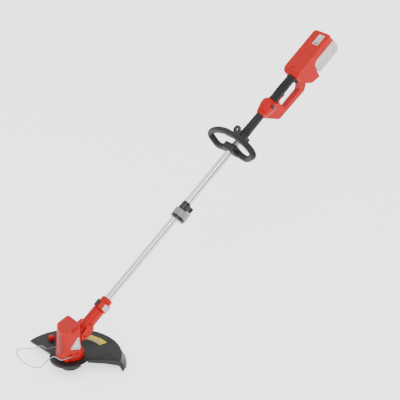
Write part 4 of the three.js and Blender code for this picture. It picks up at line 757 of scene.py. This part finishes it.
def rear_shell():
    nose = turned([(0, NOSE_S), (17, NOSE_S, 1), (19, NOSE_S + 2, 1), (23, NOSE_S + 14, 6),
                   (29, NOSE_S + 38, 14), (30, NOSE_S + 50, 10),
                   (27, NOSE_S + 60, 8), (18.3, NOSE_S + 68.7, 1), (0, NOSE_S + 68.7)], "x", 96)
    guard_bar = prism([(NOSE_S + 4, 6, 3), (NOSE_S + 2, -16, 10), (NOSE_S + 44, -75, 14),
                       (HOUSE_S + 4, -79, 16), (HOUSE_S + 34, -56, 10),
                       (HOUSE_S + 40, 6)], -13, 13, 6, steps=4)
    outline = [(HOUSE_S, 14, 5), (HOUSE_S + 20, 27, 12), (END_S, 27, 9), (END_S, -4), (HOUSE_S + 95, -4, 2),
               (HOUSE_S + 83, -12, 5),
               (HOUSE_S + 77, -28, 6), (HOUSE_S + 73, -66, 3), (HOUSE_S + 34, -58, 10), (HOUSE_S, -20, 4)]
    house = combined(prism(outline, -41, 41, 9, steps=5), "INTERSECT",
                     prism([(HOUSE_S, -41, 12), (END_S, -41, 15), (END_S, 41, 15), (HOUSE_S, 41, 12)], -100,
                           100, axis="z"))
    core = hoop(0, 12, NOSE_S + 57.1, HOUSE_S + 10.1, "x", 48)
    skin = melted(1.6, 4, nose, guard_bar, house)
    bar_hole = prism(OPENING, -60, 60, 0)
    grip_room = hoop(0, 19, GRIP_S, HOUSE_S, "x", 64)
    tools = [bar_hole, grip_room, hoop(0, BORE_R, 1000, NOSE_S + 64.1, "x", 64),
             box(HOUSE_S + 24, HOUSE_S + 27, -9, 9, 24, 40, 0), box(HOUSE_S + 70.1, 1500, -38.6, 38.6, -90,
                                                                    -4.1, 0)]
    tools.append(hoop(20.6, 40, NOSE_S + 12.3, NOSE_S + 13.5, "x", 96))
    tools.append(box(NOSE_S + 41.6, NOSE_S + 50.4, -40, -18, -2.4, 12.4, 2))
    shell = cut(skin, *tools)
    return joined(shell, core)


shells(("handle_shell_right", "handle_shell_left"), rear_shell(), HANDLE, RED, span=(1000, 1500))
piece("handle_label", box(HOUSE_S + 138.1, HOUSE_S + 182.1, -26, 3, 26.7, 27.25, 0), HANDLE, LABEL)
piece("handle_label_bar", box(HOUSE_S + 142.1, HOUSE_S + 148.1, -23, 0, 27.2, 27.4, 0), HANDLE, INK)
for k in range(3):
    piece(f"handle_label_line_{k + 1}", box(HOUSE_S + 154.1 + 9 * k, HOUSE_S + 157.1 + 9 * k, -23,
                                            0 - 6 * k, 27.2, 27.4, 0), HANDLE, GREY)
for i, (s, y, h) in enumerate(((NOSE_S + 28.1, 12.8, -36), (NOSE_S + 56.1, 12.8, -68),
                               (HOUSE_S + 16.1, 12.8, -62), (HOUSE_S + 50.1, 40.8, -10),
                               (HOUSE_S + 178.1, 40.8, 8))):
    screw(f"handle_screw_{i + 1}", s, y, h, "y", 3.2, HANDLE, SHAFT, mat=BLACK_GLOSS)

GRIP_LINE = [(GRIP_S + 0.4, 17.9), (GRIP_S + 14, 16.4), (GRIP_S + 35.1, 17.1), (GRIP_S + 56.5, 17.3),
             (GRIP_S + 79.1, 16.6), (GRIP_S + 99, 16.5), (GRIP_S + 112.6, 17.6)]
grip_profile = [(p[1], p[0]) for p in spline([(s, r, 0) for s, r in GRIP_LINE], 8)]
grip = turned([(12.3, GRIP_S + 0.4)] + grip_profile + [(12.3, GRIP_S + 112.6)], "x", 96)
trigger_slot = box(NOSE_S + 62.1, GRIP_S + 54.5, -8, 8, -40, -6, 1)
piece("grip_skin", cut(grip, trigger_slot, *[
    hoop(16.2, 20, s, s + 0.8, "x", 96, start=20, stop=160) for s in (GRIP_S + 23.1 + 7 * k
                                                                      for k in range(11))]),
    HANDLE, RUBBER, ("grip_overmould",))
TRIGGER = [(GRIP_S + 6, 0, 2), (GRIP_S + 8, -18, 5), (GRIP_S + 18, -24, 7), (GRIP_S + 30, -21, 12),
           (GRIP_S + 48, -25, 5), (GRIP_S + 52, -9, 3), (GRIP_S + 34, -5, 3)]
piece("trigger_skin", prism(TRIGGER, -6.8, 6.8, 2.4, steps=4, corner_steps=8), "trigger", RED, ("trigger",))
oval = prism([(NOSE_S + 42, -2, 3.9), (NOSE_S + 50, -2, 3.9), (NOSE_S + 50, 12, 3.9),
              (NOSE_S + 42, 12, 3.9)], -31.5, -22, 1.4)
bezel = cut(prism([(NOSE_S + 39.7, -4.6, 5.6), (NOSE_S + 52.3, -4.6, 5.6), (NOSE_S + 52.3, 14.6, 5.6),
                   (NOSE_S + 39.7, 14.6, 5.6)], -29.6, -24, 0.8),
            prism([(NOSE_S + 41.5, -2.5, 4.4), (NOSE_S + 50.5, -2.5, 4.4), (NOSE_S + 50.5, 12.5, 4.4),
                   (NOSE_S + 41.5, 12.5, 4.4)], -40, -20))
piece("lock_off_bezel", bezel, HANDLE, BLACK_GLOSS)
web = prism([(GRIP_S + 99.1, -10), (GRIP_S + 105.1, -21, 4), (HOUSE_S + 2.5, -38, 3), (HOUSE_S + 6.1, -38),
             (HOUSE_S + 6.1, -6), (GRIP_S + 105.1, -6)], -9, 9, 2)
piece("grip_web", web, HANDLE, RUBBER)
piece("lock_off_button_skin", oval, "lock_off_button", BLACK_GLOSS, ("lock_off_button",))

# ---------- battery ----------
PACK = [(BATTERY_S + 0.3, -4.4, 1), (BATTERY_S + 0.3, -50, 3), (BATTERY_S + 5.3, -55, 4),
        (BATTERY_S + 103, -55, 5), (END_S, -41, 6), (END_S, -4.4, 1)]
pack_body = prism(PACK, -38, 38, 6, steps=4)
tools = [box(BATTERY_S + 7.1, BATTERY_S + 93.1, side * 38.3 - 1, side * 38.3 + 1, -46, -20, 3)
         for side in (-1, 1)]
seam = cut(prism([(BATTERY_S - 10.9, -31.6), (BATTERY_S + 129.1, -31.6), (BATTERY_S + 129.1, -30.8),
                  (BATTERY_S - 10.9, -30.8)], -50, 50),
           prism([(BATTERY_S + 1, -60), (BATTERY_S + 116.3, -60), (BATTERY_S + 116.3, 0),
                  (BATTERY_S + 1, 0)], -37.3, 37.3))
tools.append(seam)
tools += [box(BATTERY_S + 109.1, BATTERY_S + 129.1, -26 + 7 * k, -23 + 7 * k, -36, -26, 0.8)
          for k in range(8)]
tools.append(box(BATTERY_S + 108.3, BATTERY_S + 129.1, -9.4, 9.4, -20, -11.6, 0.8))
piece("battery_skin", cut(pack_body, *tools), "battery", PALE, ("battery_case",))
latch = joined(box(BATTERY_S + 112.5, BATTERY_S + 119, -8.6, 8.6, -19, -12.4, 1.2), *[
    box(BATTERY_S + 118.5, BATTERY_S + 119.5, -6.4 + 4 * k, -5.2 + 4 * k, -17.6, -13.8,
        0.3) for k in range(4)])
piece("battery_latch_skin", latch, "battery_latch", BLACK_GLOSS, ("battery_latch",))

# ---------- CAD nodes that stay in sight keep their shape and take these surfaces ----------
FINISH = {"steel": STEEL, "copper": COPPER, "black_plastic": BLACK, "red_plastic": RED, "grey_plastic": GREY,
          "pale_plastic": PALE, "circuit_board": BOARD, "cutting_line": LINE, "soft_rubber": RUBBER,
          "tube_aluminium": TUBE}
for subpart in frame["record"]["subparts"]:
    mesh = frame["nodes"][subpart["node"]].data
    mesh.materials.clear()
    mesh.materials.append(FINISH[subpart["material_slot"]])

# ---------- floor, light and camera ----------
floor_mat = shaded("studio_floor", (0.97, 0.97, 0.97), 0.9, grain=60, bump=0.01, vary=0.005, wear=0)
floor_shader = floor_mat.node_tree.nodes["Principled BSDF"]
floor_shader.inputs["Emission Color"].default_value = (1, 1, 1, 1)
floor_shader.inputs["Emission Strength"].default_value = 1.5
floor_mesh = bpy.data.meshes.new("floor")
floor_mesh.from_pydata([(-30, -30, 0), (30, -30, 0), (30, 30, 0), (-30, 30, 0)], [], [(0, 1, 2, 3)])
floor = bpy.data.objects.new("floor", floor_mesh)
floor_mesh.materials.append(floor_mat)
bpy.context.scene.collection.objects.link(floor)


def area(name, place, aim, size, power):
    data = bpy.data.lights.new(name, "AREA")
    data.shape = "SQUARE"
    data.size = size
    data.energy = power
    light = bpy.data.objects.new(name, data)
    light.location = place
    light.rotation_euler = (Vector(aim) - Vector(place)).to_track_quat("-Z", "Y").to_euler()
    bpy.context.scene.collection.objects.link(light)


AIM = (0.45, 0, 0.4)
area("key", (-1.0, -2.4, 3.2), AIM, 1.8, 62)
area("fill", (2.8, -1.6, 1.8), AIM, 2.2, 8)
area("rim", (-0.6, 2.6, 2.6), AIM, 1.8, 22)
world = bpy.data.worlds.new("studio")
bpy.context.scene.world = world
world.use_nodes = True
sky = world.node_tree
over = node(sky, "ShaderNodeSeparateXYZ", {"Vector": node(sky, "ShaderNodeTexCoord").outputs["Generated"]})
glow = node(sky, "ShaderNodeMapRange", {"Value": over.outputs["Z"], "From Min": 0.05, "From Max": 0.85,
                                        "To Min": 0.14, "To Max": 1.7})
sky.links.new(glow.outputs["Result"], sky.nodes["Background"].inputs["Strength"])
sky.nodes["Background"].inputs["Color"].default_value = (1, 1, 1, 1)

VIEW_AZ, VIEW_EL, VIEW_FAR = math.radians(37), math.radians(25.5), 4.6
back = Vector((-math.sin(VIEW_AZ) * math.cos(VIEW_EL), -math.cos(VIEW_AZ) * math.cos(VIEW_EL),
               math.sin(VIEW_EL)))
right = Vector((math.cos(VIEW_AZ), -math.sin(VIEW_AZ), 0))
up = back.cross(right)
lens = bpy.data.cameras.new("camera")
lens.lens = 120.24
lens.sensor_width = 36
lens.clip_end = 200
camera = bpy.data.objects.new("camera", lens)
target = right * 0.446 + up * 0.575
camera.matrix_world = Matrix((right, up, back)).transposed().to_4x4()
camera.matrix_world.translation = target + back * VIEW_FAR
bpy.context.scene.collection.objects.link(camera)
bpy.context.scene.camera = camera
